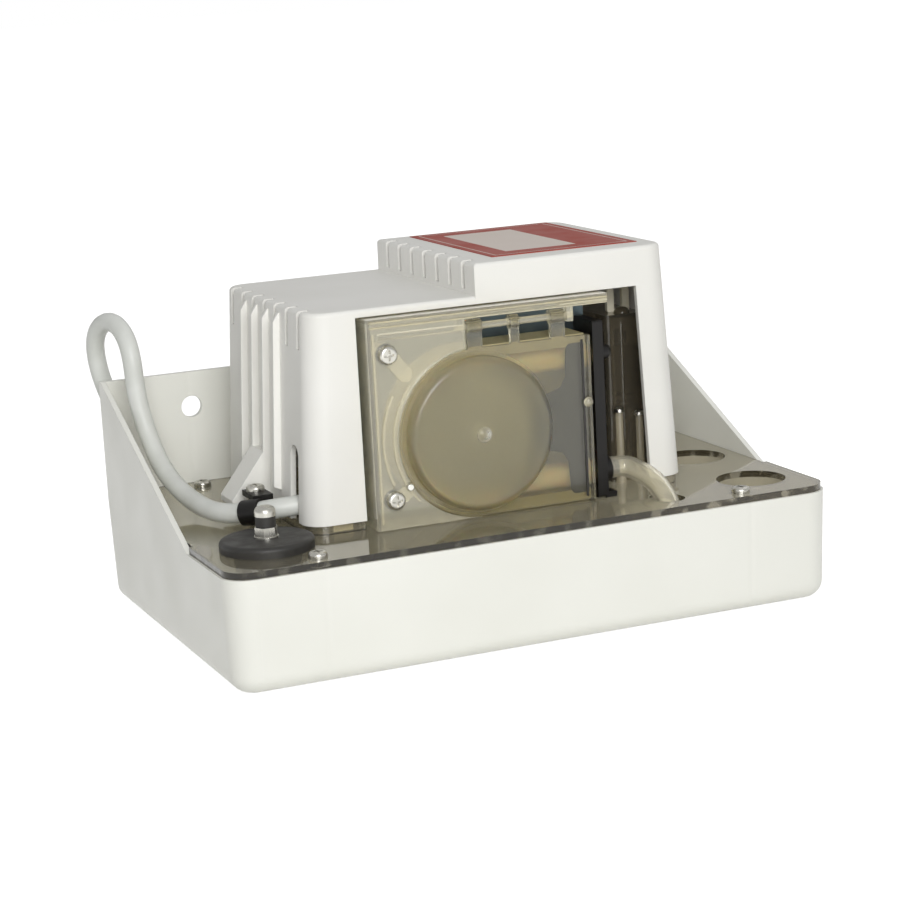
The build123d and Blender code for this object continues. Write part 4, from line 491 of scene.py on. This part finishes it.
class PumpCordSettings(bpy.types.PropertyGroup):
    """Sizes of the mains cord."""
    diameter: bpy.props.FloatProperty(
        name="Diameter", description="Outside diameter of the cord", default=8.6 * MM, unit="LENGTH")
    coil_radius: bpy.props.FloatProperty(
        name="Coil radius", description="Radius of the put-away turns", default=46 * MM, unit="LENGTH")
    coil_turns: bpy.props.FloatProperty(
        name="Coil turns", description="Turns put away behind the tank", default=3.5)
    length: bpy.props.FloatProperty(
        name="Length", description="Real length from terminal block to plug", default=1.55, unit="LENGTH")


class PumpStageSettings(bpy.types.PropertyGroup):
    """Camera and light."""
    lens: bpy.props.FloatProperty(
        name="Lens", description="Focal length on a 36 mm sensor", default=97.75, unit="CAMERA")
    distance: bpy.props.FloatProperty(
        name="Distance", description="From the camera to the point it looks at", default=1.0677,
        unit="LENGTH")
    azimuth: bpy.props.FloatProperty(
        name="Azimuth", description="Turn of the camera to the left of the front",
        default=math.radians(22.39), subtype="ANGLE")
    elevation: bpy.props.FloatProperty(
        name="Elevation", description="Height angle of the camera",
        default=math.radians(11.98), subtype="ANGLE")
    roll: bpy.props.FloatProperty(
        name="Roll", description="Tilt of the camera about its own axis",
        default=math.radians(-3.07), subtype="ANGLE")
    key_power: bpy.props.FloatProperty(
        name="Key power", description="Power of the main soft light", default=13.6, unit="POWER")
    fill_power: bpy.props.FloatProperty(
        name="Fill power", description="Power of the soft light high behind on the right", default=3.0,
        unit="POWER")
    world_strength: bpy.props.FloatProperty(
        name="World strength", description="Even light from all round", default=0.36)


# ---------------------------------------------------------------- stage, in metres
LOOK_AT = Vector((-16.86, -30.5, 77.32)) * MM
KEY_SIZE, KEY_AT = 0.8, (-0.36, -1.36, 0.62)
FILL_SIZE, FILL_AT = 1.2, (1.1, 0.5, 1.5)
SENSOR_MM = 36.0
CLIP_END = 20.0
FLOOR_HALF = 9.0
FLOOR_HEIGHT = -0.0002
# strengths of what is only seen: the floor's glow, the world in gloss, and the world behind the object
FLOOR_GLOW = 0.86
MIRRORED_WORLD = 0.6
SEEN_WORLD = 1.0


class PUMP_OT_stage(bpy.types.Operator):
    """Set up the pale floor, the plain light and the camera"""
    bl_idname = "pump.stage"
    bl_label = "Stage"

    def execute(self, context):
        stage = context.scene.pump_stage
        self.add_floor()
        self.add_world(context, stage)
        self.add_lights(stage)
        self.add_camera(context, stage)
        context.scene.view_settings.view_transform = "Standard"
        return {"FINISHED"}

    def add_floor(self):
        """A wide floor that the camera sees as white, with the object's shadow left on it."""
        bm = bmesh.new()
        corners = ((-1, -1), (1, -1), (1, 1), (-1, 1))
        bm.faces.new([bm.verts.new((x * FLOOR_HALF, y * FLOOR_HALF, FLOOR_HEIGHT)) for x, y in corners])
        mesh = bpy.data.meshes.new("floor")
        bm.to_mesh(mesh)
        bm.free()
        floor = bpy.data.objects.new("floor", mesh)
        bpy.context.scene.collection.objects.link(floor)
        mesh.materials.append(self.floor_paint())

    def floor_paint(self):
        """Matt paint that takes shadows, with a glow that only the camera, gloss and glass see."""
        material = bpy.data.materials.new("painted_floor")
        material.use_nodes = True
        tree = material.node_tree
        tree.nodes.clear()
        ray = add_node(tree, "ShaderNodeLightPath").outputs
        paint = add_node(tree, "ShaderNodeBsdfDiffuse", {"Color": linear("#D9D9D6")})
        glow = add_node(tree, "ShaderNodeEmission", {"Color": linear("#FFFFFF"), "Strength": FLOOR_GLOW})
        seen = ray["Is Camera Ray"]
        for kind in ("Is Glossy Ray", "Is Transmission Ray"):
            either = add_node(tree, "ShaderNodeMath", {0: seen, 1: ray[kind]}, operation="MAXIMUM")
            seen = either.outputs[0]
        nothing = add_node(tree, "ShaderNodeEmission", {"Strength": 0.0})
        lift = add_node(tree, "ShaderNodeMixShader", {0: seen, 1: nothing.outputs[0], 2: glow.outputs[0]})
        both = add_node(tree, "ShaderNodeAddShader", {0: paint.outputs[0], 1: lift.outputs[0]})
        add_node(tree, "ShaderNodeOutputMaterial", {"Surface": both.outputs[0]})
        return material

    def add_world(self, context, stage):
        """Even pale light all round, white where the camera looks past the object."""
        world = bpy.data.worlds.new("studio")
        world.use_nodes = True
        tree = world.node_tree
        tree.nodes.clear()
        ray = add_node(tree, "ShaderNodeLightPath").outputs
        even, mirrored, white = (
            add_node(tree, "ShaderNodeBackground", {"Color": linear("#FFFFFF"), "Strength": strength})
            for strength in (stage.world_strength, MIRRORED_WORLD, SEEN_WORLD))
        behind = add_node(tree, "ShaderNodeMixShader", {
            0: ray["Is Glossy Ray"], 1: even.outputs[0], 2: mirrored.outputs[0]})
        seen = add_node(tree, "ShaderNodeMath", {
            0: ray["Is Camera Ray"], 1: ray["Is Transmission Ray"]}, operation="MAXIMUM")
        choose = add_node(tree, "ShaderNodeMixShader", {
            0: seen.outputs[0], 1: behind.outputs[0], 2: white.outputs[0]})
        add_node(tree, "ShaderNodeOutputWorld", {"Surface": choose.outputs[0]})
        context.scene.world = world

    def add_lights(self, stage):
        """A soft key beside the camera, and a weaker fill from high behind on the right."""
        for name, power, size, lamp_at in (("key", stage.key_power, KEY_SIZE, KEY_AT),
                                           ("fill", stage.fill_power, FILL_SIZE, FILL_AT)):
            light = bpy.data.lights.new(name, "AREA")
            light.energy = power
            light.size = size
            lamp = bpy.data.objects.new(name, light)
            bpy.context.scene.collection.objects.link(lamp)
            lamp.location = lamp_at
            lamp.rotation_euler = (LOOK_AT - lamp.location).to_track_quat("-Z", "Y").to_euler()

    def add_camera(self, context, stage):
        """The camera, from its turn, height, roll and distance."""
        turn, height, roll = stage.azimuth, stage.elevation, stage.roll
        back = Vector((-math.sin(turn) * math.cos(height), -math.cos(turn) * math.cos(height),
                       math.sin(height)))
        across = Vector((0, 0, 1)).cross(back).normalized()
        upward = back.cross(across)
        right = math.cos(roll) * across + math.sin(roll) * upward
        up = math.cos(roll) * upward - math.sin(roll) * across
        camera = bpy.data.cameras.new("camera")
        camera.lens = stage.lens
        camera.sensor_width = SENSOR_MM
        camera.clip_end = CLIP_END
        holder = bpy.data.objects.new("camera", camera)
        bpy.context.scene.collection.objects.link(holder)
        pose = Matrix((right, up, back)).transposed().to_4x4()
        pose.translation = LOOK_AT + stage.distance * back
        holder.matrix_world = pose
        context.scene.camera = holder


# ---------------------------------------------------------------- cord, in mm
CORD_EXIT_ROUTE = [
    (-78.0, -31.5, 63.0), (-94.0, -31.5, 63.0), (-106.5, -21.5, 60.0), (-117.0, -4.0, 57.6),
    (-121.5, 22.0, 60.0), (-125.0, 45.0, 68.0), (-127.0, 59.0, 82.0), (-130.0, 63.5, 100.0),
    (-130.5, 64.0, 119.5), (-131.5, 71.5, 129.6), (-134.0, 83.0, 133.6), (-137.0, 94.5, 129.4),
    (-138.0, 101.5, 119.5), (-135.5, 103.0, 103.0), (-127.0, 103.4, 80.0), (-109.0, 103.0, 59.0),
    (-82.0, 102.0, 44.0), (-48.0, 101.4, 37.5), (-8.0, 101.2, 35.4), (26.0, 101.0, 35.1)]
CORD_TAIL_ROUTE = [
    (38.0, 194.0, 4.8), (16.0, 191.0, 10.3), (-6.0, 185.0, 19.0), (-22.0, 185.0, 19.0)]
COIL_X, COIL_Y = 62.0, 147.0
COIL_TOP, COIL_BOTTOM = 35.1, 4.3
COIL_STEPS = 14


def cord_control_points(settings):
    """The route out of the hood, the put-away turns and the tail, as one list in metres."""
    points = [Vector(p) * MM for p in CORD_EXIT_ROUTE]
    # the spline runs inside its control points, so they stand outside the turns
    reach = settings.coil_radius / math.cos(math.pi / COIL_STEPS)
    count = int(round(settings.coil_turns * COIL_STEPS))
    for i in range(count + 1):
        angle = 2 * math.pi * i / COIL_STEPS - math.pi / 2
        height = (COIL_TOP + (COIL_BOTTOM - COIL_TOP) * i / count) * MM
        points.append(Vector((COIL_X * MM + reach * math.cos(angle),
                              COIL_Y * MM + reach * math.sin(angle), height)))
    return points + [Vector(p) * MM for p in CORD_TAIL_ROUTE]


# ---------------------------------------------------------------- mains plug, in mm
PLUG_Y, PLUG_Z = 185.0, 19.0
# stations along the plug from the cord's end to its face, as (radius, x): seven ribs on a tapered sleeve,
# a waist for the fingers, and the disc with its recessed face
SLEEVE_START = -22.0
RIB_COUNT, RIB_PITCH, RIB_GROWTH = 7, 3.2, 0.85
PLUG_SLEEVE = [(4.4, SLEEVE_START), (5.6, SLEEVE_START)] + [
    (radius + RIB_GROWTH * i, SLEEVE_START - along - RIB_PITCH * i)
    for i in range(RIB_COUNT) for radius, along in ((6.2, 0.8), (6.5, 2.6), (5.4, 2.9), (5.5, 3.7))]
PLUG_BODY = [
    (12.6, -45.6), (15.2, -47.0), (16.4, -49.5), (16.4, -57.0), (17.4, -60.5), (18.6, -62.4), (19.0, -64.0),
    (19.0, -77.6), (18.3, -79.4), (17.0, -80.0), (14.0, -80.0), (13.4, -78.4), (0.0, -78.4)]
PLUG_STEPS = 96
# the earth contacts' grooves: the radius at their bottom, their half width in degrees, and their back end
GROOVE_RADIUS, GROOVE_HALF_ANGLE, GROOVE_END = 16.8, 7, -62.0
# the thumb hollows at the waist
HOLLOW_DEPTH, HOLLOW_FRONT, HOLLOW_BACK = 1.8, -60.5, -46.0
# an earth contact seen from above, from its inner end to its tip: x, and distance from the plug's axis
EARTH_OUTLINE = [(-63.0, 16.7), (-66.0, 18.3), (-77.0, 18.3), (-80.0, 16.9)]
EARTH_THICKNESS = 0.6
EARTH_HALF_WIDTH = 1.6


def plug_radius(radius, x, angle):
    """Radius of the plug at an angle from level: grooves at both sides, hollows above and below."""
    groove = abs(math.cos(angle)) > math.cos(math.radians(GROOVE_HALF_ANGLE))
    if x < GROOVE_END and radius > GROOVE_RADIUS and groove:
        return GROOVE_RADIUS
    if HOLLOW_FRONT < x < HOLLOW_BACK:
        return radius - HOLLOW_DEPTH * abs(math.sin(angle)) ** 3
    return radius


class PUMP_OT_plug(bpy.types.Operator):
    """Mould the mains plug with its ribbed cord sleeve and earth contacts"""
    bl_idname = "pump.plug"
    bl_label = "Mains plug"

    def execute(self, context):
        self.mould_body(context.scene.pump_finish)
        self.bend_contacts()
        return {"FINISHED"}

    def mould_body(self, finish):
        """One moulding from the sleeve's thin end to the plug's face."""
        # vinyl moulded over the contacts: soft white with a satin shine
        vinyl = solid_plastic("plug_vinyl", finish.cord_shade, finish.cord_white, 0.3, 0.44, ior=1.52)
        bm = bmesh.new()
        place = stand(0.0, PLUG_Y, PLUG_Z, LENGTHWISE)
        turned(bm, PLUG_SLEEVE + PLUG_BODY, place, PLUG_STEPS, plug_radius)
        body = piece_from(bm, "plug_moulding", "base", vinyl, 32)
        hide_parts("mains_plug")

    def bend_contacts(self):
        """Two sprung strips that lie in the grooves at the plug's sides."""
        bm = bmesh.new()
        for side in (-1, 1):
            outer = [(x, PLUG_Y + side * away) for x, away in EARTH_OUTLINE]
            inner = [(x, y - side * EARTH_THICKNESS) for x, y in reversed(outer)]
            plate(bm, outer + inner, PLUG_Z - EARTH_HALF_WIDTH, PLUG_Z + EARTH_HALF_WIDTH, flat=True)
        turn_faces_out(bm)
        # brass strip, rolled hard: a pale yellow glint
        piece_from(bm, "earth_contacts", "base", metal("spring_brass", "#C2B083", 0.22, 0.34))


class PUMP_OT_cord(bpy.types.Operator):
    """Lay the mains cord from its terminal block to its plug"""
    bl_idname = "pump.cord"
    bl_label = "Mains cord"

    def execute(self, context):
        finish, sizes = context.scene.pump_finish, context.scene.pump_cord
        # extruded vinyl sheath: soft white, a little duller than the plug
        vinyl = solid_plastic("cord_vinyl", finish.cord_shade, finish.cord_white, 0.34, 0.46, ior=1.52)
        points = cord_control_points(sizes)
        cord = wire("mains_cord", points, sizes.diameter, "base", vinyl, resolution=12)
        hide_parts("power_cord", "cord_tail", "cord_coil")
        # turned brass under thin nickel: pale gold, with a sharp glint
        dress(metal("nickel_brass", "#C9BE9B", 0.18, 0.3), "plug_pins")
        return {"FINISHED"}


# ---------------------------------------------------------------- finishes by group
class PUMP_OT_shell(bpy.types.Operator):
    """Finish the tank, the deck, the hood and the label"""
    bl_idname = "pump.shell"
    bl_label = "Tank, deck and hood"

    def execute(self, context):
        finish = context.scene.pump_finish
        dress(moulded_abs_white(finish), "tank")
        dress(moulded_hood_white(finish), "hood")
        dress(deck_acrylic(finish), "deck")
        dress(label_foil(finish), "top_label")
        let_light_through(*(NODES[name] for name in (
            "deck", "head_frame", "hinge_rod", "cover_catch", "switch_cover", "suction_tube")))
        return {"FINISHED"}


class PUMP_OT_fasteners(bpy.types.Operator):
    """Finish the screws, the clip and the inlet plug"""
    bl_idname = "pump.fasteners"
    bl_label = "Screws, clip and inlet plug"

    def execute(self, context):
        # cold-headed steel, zinc plated: a cool glint with soft streaks
        dress(metal("plated_steel", "#C8C6BE", 0.22, 0.36), "deck_screws", "hood_screws", "clamp_screw",
              "head_screws", "plug_nut", "plug_bolt", "motor_screws")
        # moulded rubber: near black and dull, with a powdery bloom
        dress(solid_plastic("black_neoprene", "#262523", "#312F2C", 0.42, 0.6),
              "plug_stopper", "plug_sleeve")
        # moulded nylon with soot in it: black, with a low satin shine
        dress(solid_plastic("black_nylon", "#0C0A09", "#12100E", 0.38, 0.52, ior=1.4),
              "cord_clamp", "connector_block", "suction_fitting", "discharge_fitting", "outlet_barb",
              "microswitches")
        return {"FINISHED"}


class PUMP_OT_pump_head(bpy.types.Operator):
    """Finish the peristaltic head and its hoses"""
    bl_idname = "pump.pump_head"
    bl_label = "Pump head"

    def execute(self, context):
        finish = context.scene.pump_finish
        dress(frosted_lid(finish), "pump_cover")
        # moulded clear plastic with a light etch: edges gather a straw tint
        dress(frosted_plastic("frosted_frame", finish.frost, 0.10, 0.18, 0.76),
              "head_frame", "hinge_rod", "cover_catch")
        # moulded nylon with glass fibre: grey-olive and dull
        dress(solid_plastic("glass_filled_nylon", "#85816D", "#8F8B77", 0.42, 0.54),
              "rotor_frame", "roller_1", "roller_2", "roller_3")
        # moulded polypropylene with a tint: waxy tan
        dress(solid_plastic("tinted_polypropylene", "#A89E78", "#B1A782", 0.3, 0.42), "track_body")
        # moulded nylon without pigment: cream, with a soft shine
        dress(solid_plastic("natural_nylon", "#D9D2B0", "#E2DCC0", 0.38, 0.5),
              "output_gear", "middle_gear", "terminal_block", "strainer")
        # machined acetal: dark brown, with a slippery satin shine
        dress(solid_plastic("brown_acetal", "#2B2621", "#342E28", 0.3, 0.42),
              "switch_plungers", "float_lever")
        # extruded rubber-like tube: warm tan, with light glowing a little way into it
        dress(soft_tube("elastomer_tube", "#DBCA98", 0.5, 0.0, 0.3), "pump_tube")
        # extruded clear vinyl: wet-looking walls with a pale tint
        dress(soft_tube("vinyl_hose", "#E6E2D2", 0.1, 0.82, 0.0), "suction_tube", "discharge_tube")
        # ground steel rod: a fine sharp glint
        dress(metal("ground_steel", "#B9B8B4", 0.15, 0.25), "roller_pins", "output_shaft",
              "middle_axle", "motor_shaft", "float_rod")
        return {"FINISHED"}


class PUMP_OT_drive(bpy.types.Operator):
    """Finish the gearbox, the motor, the fan, the float and the switches"""
    bl_idname = "pump.drive"
    bl_label = "Drive and float"

    def execute(self, context):
        # pressed steel, heat blued: dark blue-grey in soft clouds
        dress(metal("blued_steel", "#4A5458", 0.3, 0.45, 6.0), "mounting_plate")
        # pressed steel, zinc plated: pale grey in soft clouds
        dress(metal("zinc_sheet", "#A9ADAE", 0.28, 0.45, 6.0), "rear_bracket")
        # pressure-cast zinc, left as cast: mid grey and slightly pitted
        dress(metal("die_cast_zinc", "#9C9C9A", 0.4, 0.55, 0.5, 0.05), "gearbox_case", "gearbox_cover",
              "motor_rotor")
        # pressed and sintered bronze, soaked with oil: brown and dull
        dress(metal("sintered_bronze", "#9A7440", 0.4, 0.55), "shaft_bushes")
        # stamped electrical steel: dark grey with a dull sheen
        dress(metal("lamination_steel", "#56565A", 0.4, 0.6), "stator_stack")
        # polyester tape over the winding: amber, with a plastic shine
        dress(solid_plastic("coil_tape", "#B79A3C", "#C6AA4C", 0.3, 0.45), "motor_coil")
        # moulded polypropylene: dark grey and waxy
        dress(solid_plastic("grey_polypropylene", "#4C4F52", "#585B5E", 0.4, 0.55), "cooling_fan")
        # cut foam with closed cells: cream, matt and finely pored
        dress(solid_plastic("closed_cell_foam", "#C8C4B4", "#D4D0C0", 0.6, 0.75, 1.6), "float")
        dress(smoked_polycarbonate(context.scene.pump_finish), "switch_cover")
        # moulded polycarbonate, etched and dark: a dim brown block with soft edges
        dress(frosted_plastic("smoky_polycarbonate", "#7A725F", 0.12, 0.2, 0.85), "switch_stand")
        return {"FINISHED"}


# ---------------------------------------------------------------- details of the pump head, in mm
FRAME_FRONT = -57.5
BOSS_FRONT = -64.0
# how far a rib's root reaches into what carries it
RIB_ROOT = 0.3
LUG_X, UPPER_LUG_Z, LOWER_LUG_Z = -54.0, 127.5, 65.1
PIN_PROFILE = [(0.0, 2.0), (1.3, 1.9), (1.75, 1.3), (1.8, 0.0), (1.8, -0.6)]
PIN_X, PIN_Z = -47.4, 70.2
NUB_PROFILE = [(0.0, 0.9), (1.1, 0.8), (1.9, 0.35), (2.5, 0.0), (3.4, -0.12), (3.4, -0.4)]
# the keeper is a tall strip with a wedge that points at the rotor
KEEPER_OUTLINE = [
    (37.6, 56.2), (37.6, 122.4), (30.5, 122.4), (29.0, 120.6), (28.2, 108.0), (25.5, 103.6), (18.0, 101.4),
    (13.8, 100.6), (13.8, 77.6), (18.0, 77.0), (25.5, 75.0), (28.2, 70.8), (29.0, 58.0), (30.5, 56.2)]
KEEPER_FRONT, KEEPER_BACK = -54.9, -54.55


class PUMP_OT_head_details(bpy.types.Operator):
    """Mould the frame's ribs and lugs, and fit the pin, the keeper, the cover's seal and the nub"""
    bl_idname = "pump.head_details"
    bl_label = "Pump head details"

    def execute(self, context):
        clear = bpy.data.materials["frosted_frame"]
        let_light_through(self.frame_ribs(clear), self.rail_ribs(clear))
        self.guide_pin()
        self.tube_keeper()
        self.cover_seal()
        self.boss_nub()
        return {"FINISHED"}

    def frame_ribs(self, clear):
        """Lugs from the two screws to the track, two arcs round it, and a step along the left edge."""
        bm = bmesh.new()
        for outline, height in (
                (capsule(LUG_X, UPPER_LUG_Z, -46.6, 118.6, 3.4), 0.7),
                (capsule(LUG_X, LOWER_LUG_Z, -49.2, 67.6, 3.2), 0.7),
                (arc_band(SHAFT.x, SHAFT.z, 43.0, 44.1, 152, 204), 0.6),
                (arc_band(SHAFT.x, SHAFT.z, 38.2, 39.2, 142, 222), 0.5),
                (rounded(-60.6, -59.6, 55.0, 136.6, 0.4), 0.4)):
            plate(bm, outline, FRAME_FRONT - height, FRAME_FRONT + RIB_ROOT)
        turn_faces_out(bm)
        return piece_from(bm, "frame_ribs", "base", clear)

    def rail_ribs(self, clear):
        """Two ribs along the top rail, and a short one between them at its right end."""
        bm = bmesh.new()
        for outline, height in (
                (rounded(-61.5, 48.6, 138.9, 139.5, 0.25), 0.9),
                (rounded(-61.5, 48.6, 141.2, 141.9, 0.25), 0.9),
                (rounded(26.0, 48.8, 139.8, 140.7, 0.3), 0.7)):
            plate(bm, outline, FRAME_FRONT - height, FRAME_FRONT)
        turn_faces_out(bm)
        return piece_from(bm, "rail_ribs", "base", clear)

    def guide_pin(self):
        """The domed end of the pin that lines the track up with the frame."""
        bm = bmesh.new()
        turned(bm, PIN_PROFILE, stand(PIN_X, FRAME_FRONT, PIN_Z, FORWARD), steps=24)
        # turned and polished steel: a small white glint
        piece_from(bm, "guide_pin", "base", metal("bright_steel", "#D9D8D2", 0.12, 0.2))

    def tube_keeper(self):
        """The sheet behind the cover's flat part that keeps the tube in its track."""
        bm = bmesh.new()
        plate(bm, KEEPER_OUTLINE, KEEPER_FRONT, KEEPER_BACK)
        turn_faces_out(bm)
        # sheet steel, heat blued: almost black, with a mottled blue sheen
        blued = metal("blued_sheet", "#172026", 0.5, 0.65, 1.1, 0.03)
        piece_from(bm, "tube_keeper", "base", blued)

    def cover_seal(self):
        """The dark line along the cover's right edge."""
        bm = bmesh.new()
        plate(bm, rounded(35.4, 36.4, 54.6, 124.0, 0.4), FRAME_FRONT - 0.35, FRAME_FRONT + 0.2)
        turn_faces_out(bm)
        piece_from(bm, "cover_seal", "cover", bpy.data.materials["black_neoprene"])

    def boss_nub(self):
        """The mark that the mould's gate leaves in the middle of the boss."""
        bm = bmesh.new()
        turned(bm, NUB_PROFILE, stand(SHAFT.x, BOSS_FRONT, SHAFT.z, FORWARD), steps=32)
        piece_from(bm, "boss_nub", "cover", bpy.data.materials["frosted_lid"])


# ---------------------------------------------------------------- details at the switches, in mm
# posts in front of the switch cover: x, and height of the top
POSTS = ((64.8, 84.6), (74.8, 82.2))
POST_Y = -33.1
POST_FOOT = [(1.7, 56.0), (2.4, 53.4), (2.4, 52.2)]
POST_SCREW_PROFILE = [(0.0, 2.2), (1.5, 2.0), (2.3, 1.3), (2.5, 0.3), (2.5, 0.0)]
DOME_PROFILE = [(0.0, 2.6), (1.6, 2.4), (2.9, 1.7), (3.5, 0.7), (3.7, 0.0)]
DOME_X, DOME_Y = 72.0, -25.0
COVER_LOW, COVER_HIGH = (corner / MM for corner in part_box("switch_cover"))
COVER_RIBS = ((63.2, 64.4), (68.6, 69.4))
COVER_RIB_HEIGHT, COVER_RIB_ROOT = 0.6, 0.1
LEAD_LEFT_X, LEAD_RIGHT_X, LEAD_Y = 68.4, 76.0, -20.4
# the right lead runs this much further back than the left one
LEAD_DRIFT = 3.0
LEAD_DIAMETER = 2.0


class PUMP_OT_switch_details(bpy.types.Operator):
    """Fit the posts and their screws, the dome and ribs of the switch cover, and the switches' leads"""
    bl_idname = "pump.switch_details"
    bl_label = "Switch details"

    def execute(self, context):
        self.post_screws()
        let_light_through(self.switch_posts(), self.cover_ribs())
        self.lead_sleeves()
        self.leads()
        return {"FINISHED"}

    def post_screws(self):
        """A domed screw head on each post."""
        bm = bmesh.new()
        for x, top in POSTS:
            turned(bm, POST_SCREW_PROFILE, stand(x, POST_Y, top), steps=24)
        piece_from(bm, "post_screws", "base", bpy.data.materials["plated_steel"])

    def switch_posts(self):
        """Two slim posts with flared feet on the deck."""
        bm = bmesh.new()
        for x, top in POSTS:
            turned(bm, [(1.7, top)] + POST_FOOT, stand(x, POST_Y, 0.0), steps=24)
        turn_faces_out(bm)
        # moulded polycarbonate, etched: pale straw that glows where light passes
        pale = frosted_plastic("post_polycarbonate", "#C2BAA4", 0.15, 0.25, 0.6)
        return piece_from(bm, "switch_posts", "base", pale)

    def cover_ribs(self):
        """A dome on the switch cover's top, and two ribs down its front."""
        bm = bmesh.new()
        turned(bm, DOME_PROFILE, stand(DOME_X, DOME_Y, COVER_HIGH.z), steps=32)
        front = COVER_LOW.y
        for x0, x1 in COVER_RIBS:
            plate(bm, rounded(x0, x1, 62.0, 124.0, 0.5), front - COVER_RIB_HEIGHT, front + COVER_RIB_ROOT)
        turn_faces_out(bm)
        smoked = bpy.data.materials["smoked_polycarbonate"]
        return piece_from(bm, "switch_cover_ribs", "base", smoked)

    def lead_sleeves(self):
        """Two sleeves on the switch cover, each with a narrower neck for its lead."""
        bm = bmesh.new()
        for x in (LEAD_LEFT_X, LEAD_RIGHT_X):
            plate(bm, rounded(x - 1.7, x + 1.7, COVER_HIGH.z, 138.4, 0.8), LEAD_Y - 1.2, LEAD_Y + 1.2)
            plate(bm, rounded(x - 1.2, x + 1.2, 138.0, 140.4, 0.6), LEAD_Y - 0.8, LEAD_Y + 0.8)
        turn_faces_out(bm)
        # moulded nylon without pigment: cream, with a soft shine
        nylon = solid_plastic("sleeve_nylon", "#D8D2BC", "#E2DCC8", 0.34, 0.46)
        piece_from(bm, "lead_sleeves", "base", nylon)

    def leads(self):
        """A lead from each sleeve, up under the hood and across to the motor."""
        # extruded vinyl: mid grey, with a satin shine
        vinyl = solid_plastic("lead_vinyl", "#8D8B84", "#9A9890", 0.34, 0.46)
        for name, x, drift in (("lead_left", LEAD_LEFT_X, 0.0), ("lead_right", LEAD_RIGHT_X, LEAD_DRIFT)):
            route = ((x, LEAD_Y, 139.6), (x, -20.0, 144.5), (x - 3.0, -13.0, 149.5),
                     (x - 14.0, -4.0 + drift, 152.0), (48.0, 1.0 + drift, 150.5),
                     (38.0, 3.0 + drift, 146.0), (33.6, 4.0 + drift, 141.5))
            points = [Vector(p) * MM for p in route]
            wire(name, points, LEAD_DIAMETER * MM, "base", vinyl)


# ---------------------------------------------------------------- panel and running
class PUMP_PT_panel(bpy.types.Panel):
    """Lists the steps in the sidebar"""
    bl_idname = "PUMP_PT_panel"
    bl_label = "Condensate pump"
    bl_space_type = "VIEW_3D"
    bl_region_type = "UI"
    bl_category = "Pump"

    def draw(self, context):
        for operator in OPERATORS:
            self.layout.operator(operator.bl_idname)


OPERATORS = (PUMP_OT_stage, PUMP_OT_plug, PUMP_OT_cord, PUMP_OT_shell, PUMP_OT_fasteners,
             PUMP_OT_pump_head, PUMP_OT_drive, PUMP_OT_head_details, PUMP_OT_switch_details)
SETTINGS = {
    "pump_finish": PumpFinishSettings,
    "pump_cord": PumpCordSettings,
    "pump_stage": PumpStageSettings,
}


def register():
    for group in SETTINGS.values():
        bpy.utils.register_class(group)
    for operator in OPERATORS:
        bpy.utils.register_class(operator)
    bpy.utils.register_class(PUMP_PT_panel)
    for name, group in SETTINGS.items():
        setattr(bpy.types.Scene, name, bpy.props.PointerProperty(type=group))


def unregister():
    for name in SETTINGS:
        delattr(bpy.types.Scene, name)
    bpy.utils.unregister_class(PUMP_PT_panel)
    for operator in reversed(OPERATORS):
        bpy.utils.unregister_class(operator)
    for group in SETTINGS.values():
        bpy.utils.unregister_class(group)


def main():
    """Dress the whole pump."""
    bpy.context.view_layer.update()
    register()
    for operator in OPERATORS:
        group, name = operator.bl_idname.split(".")
        getattr(getattr(bpy.ops, group), name)()


if __name__ == "__main__":
    main()
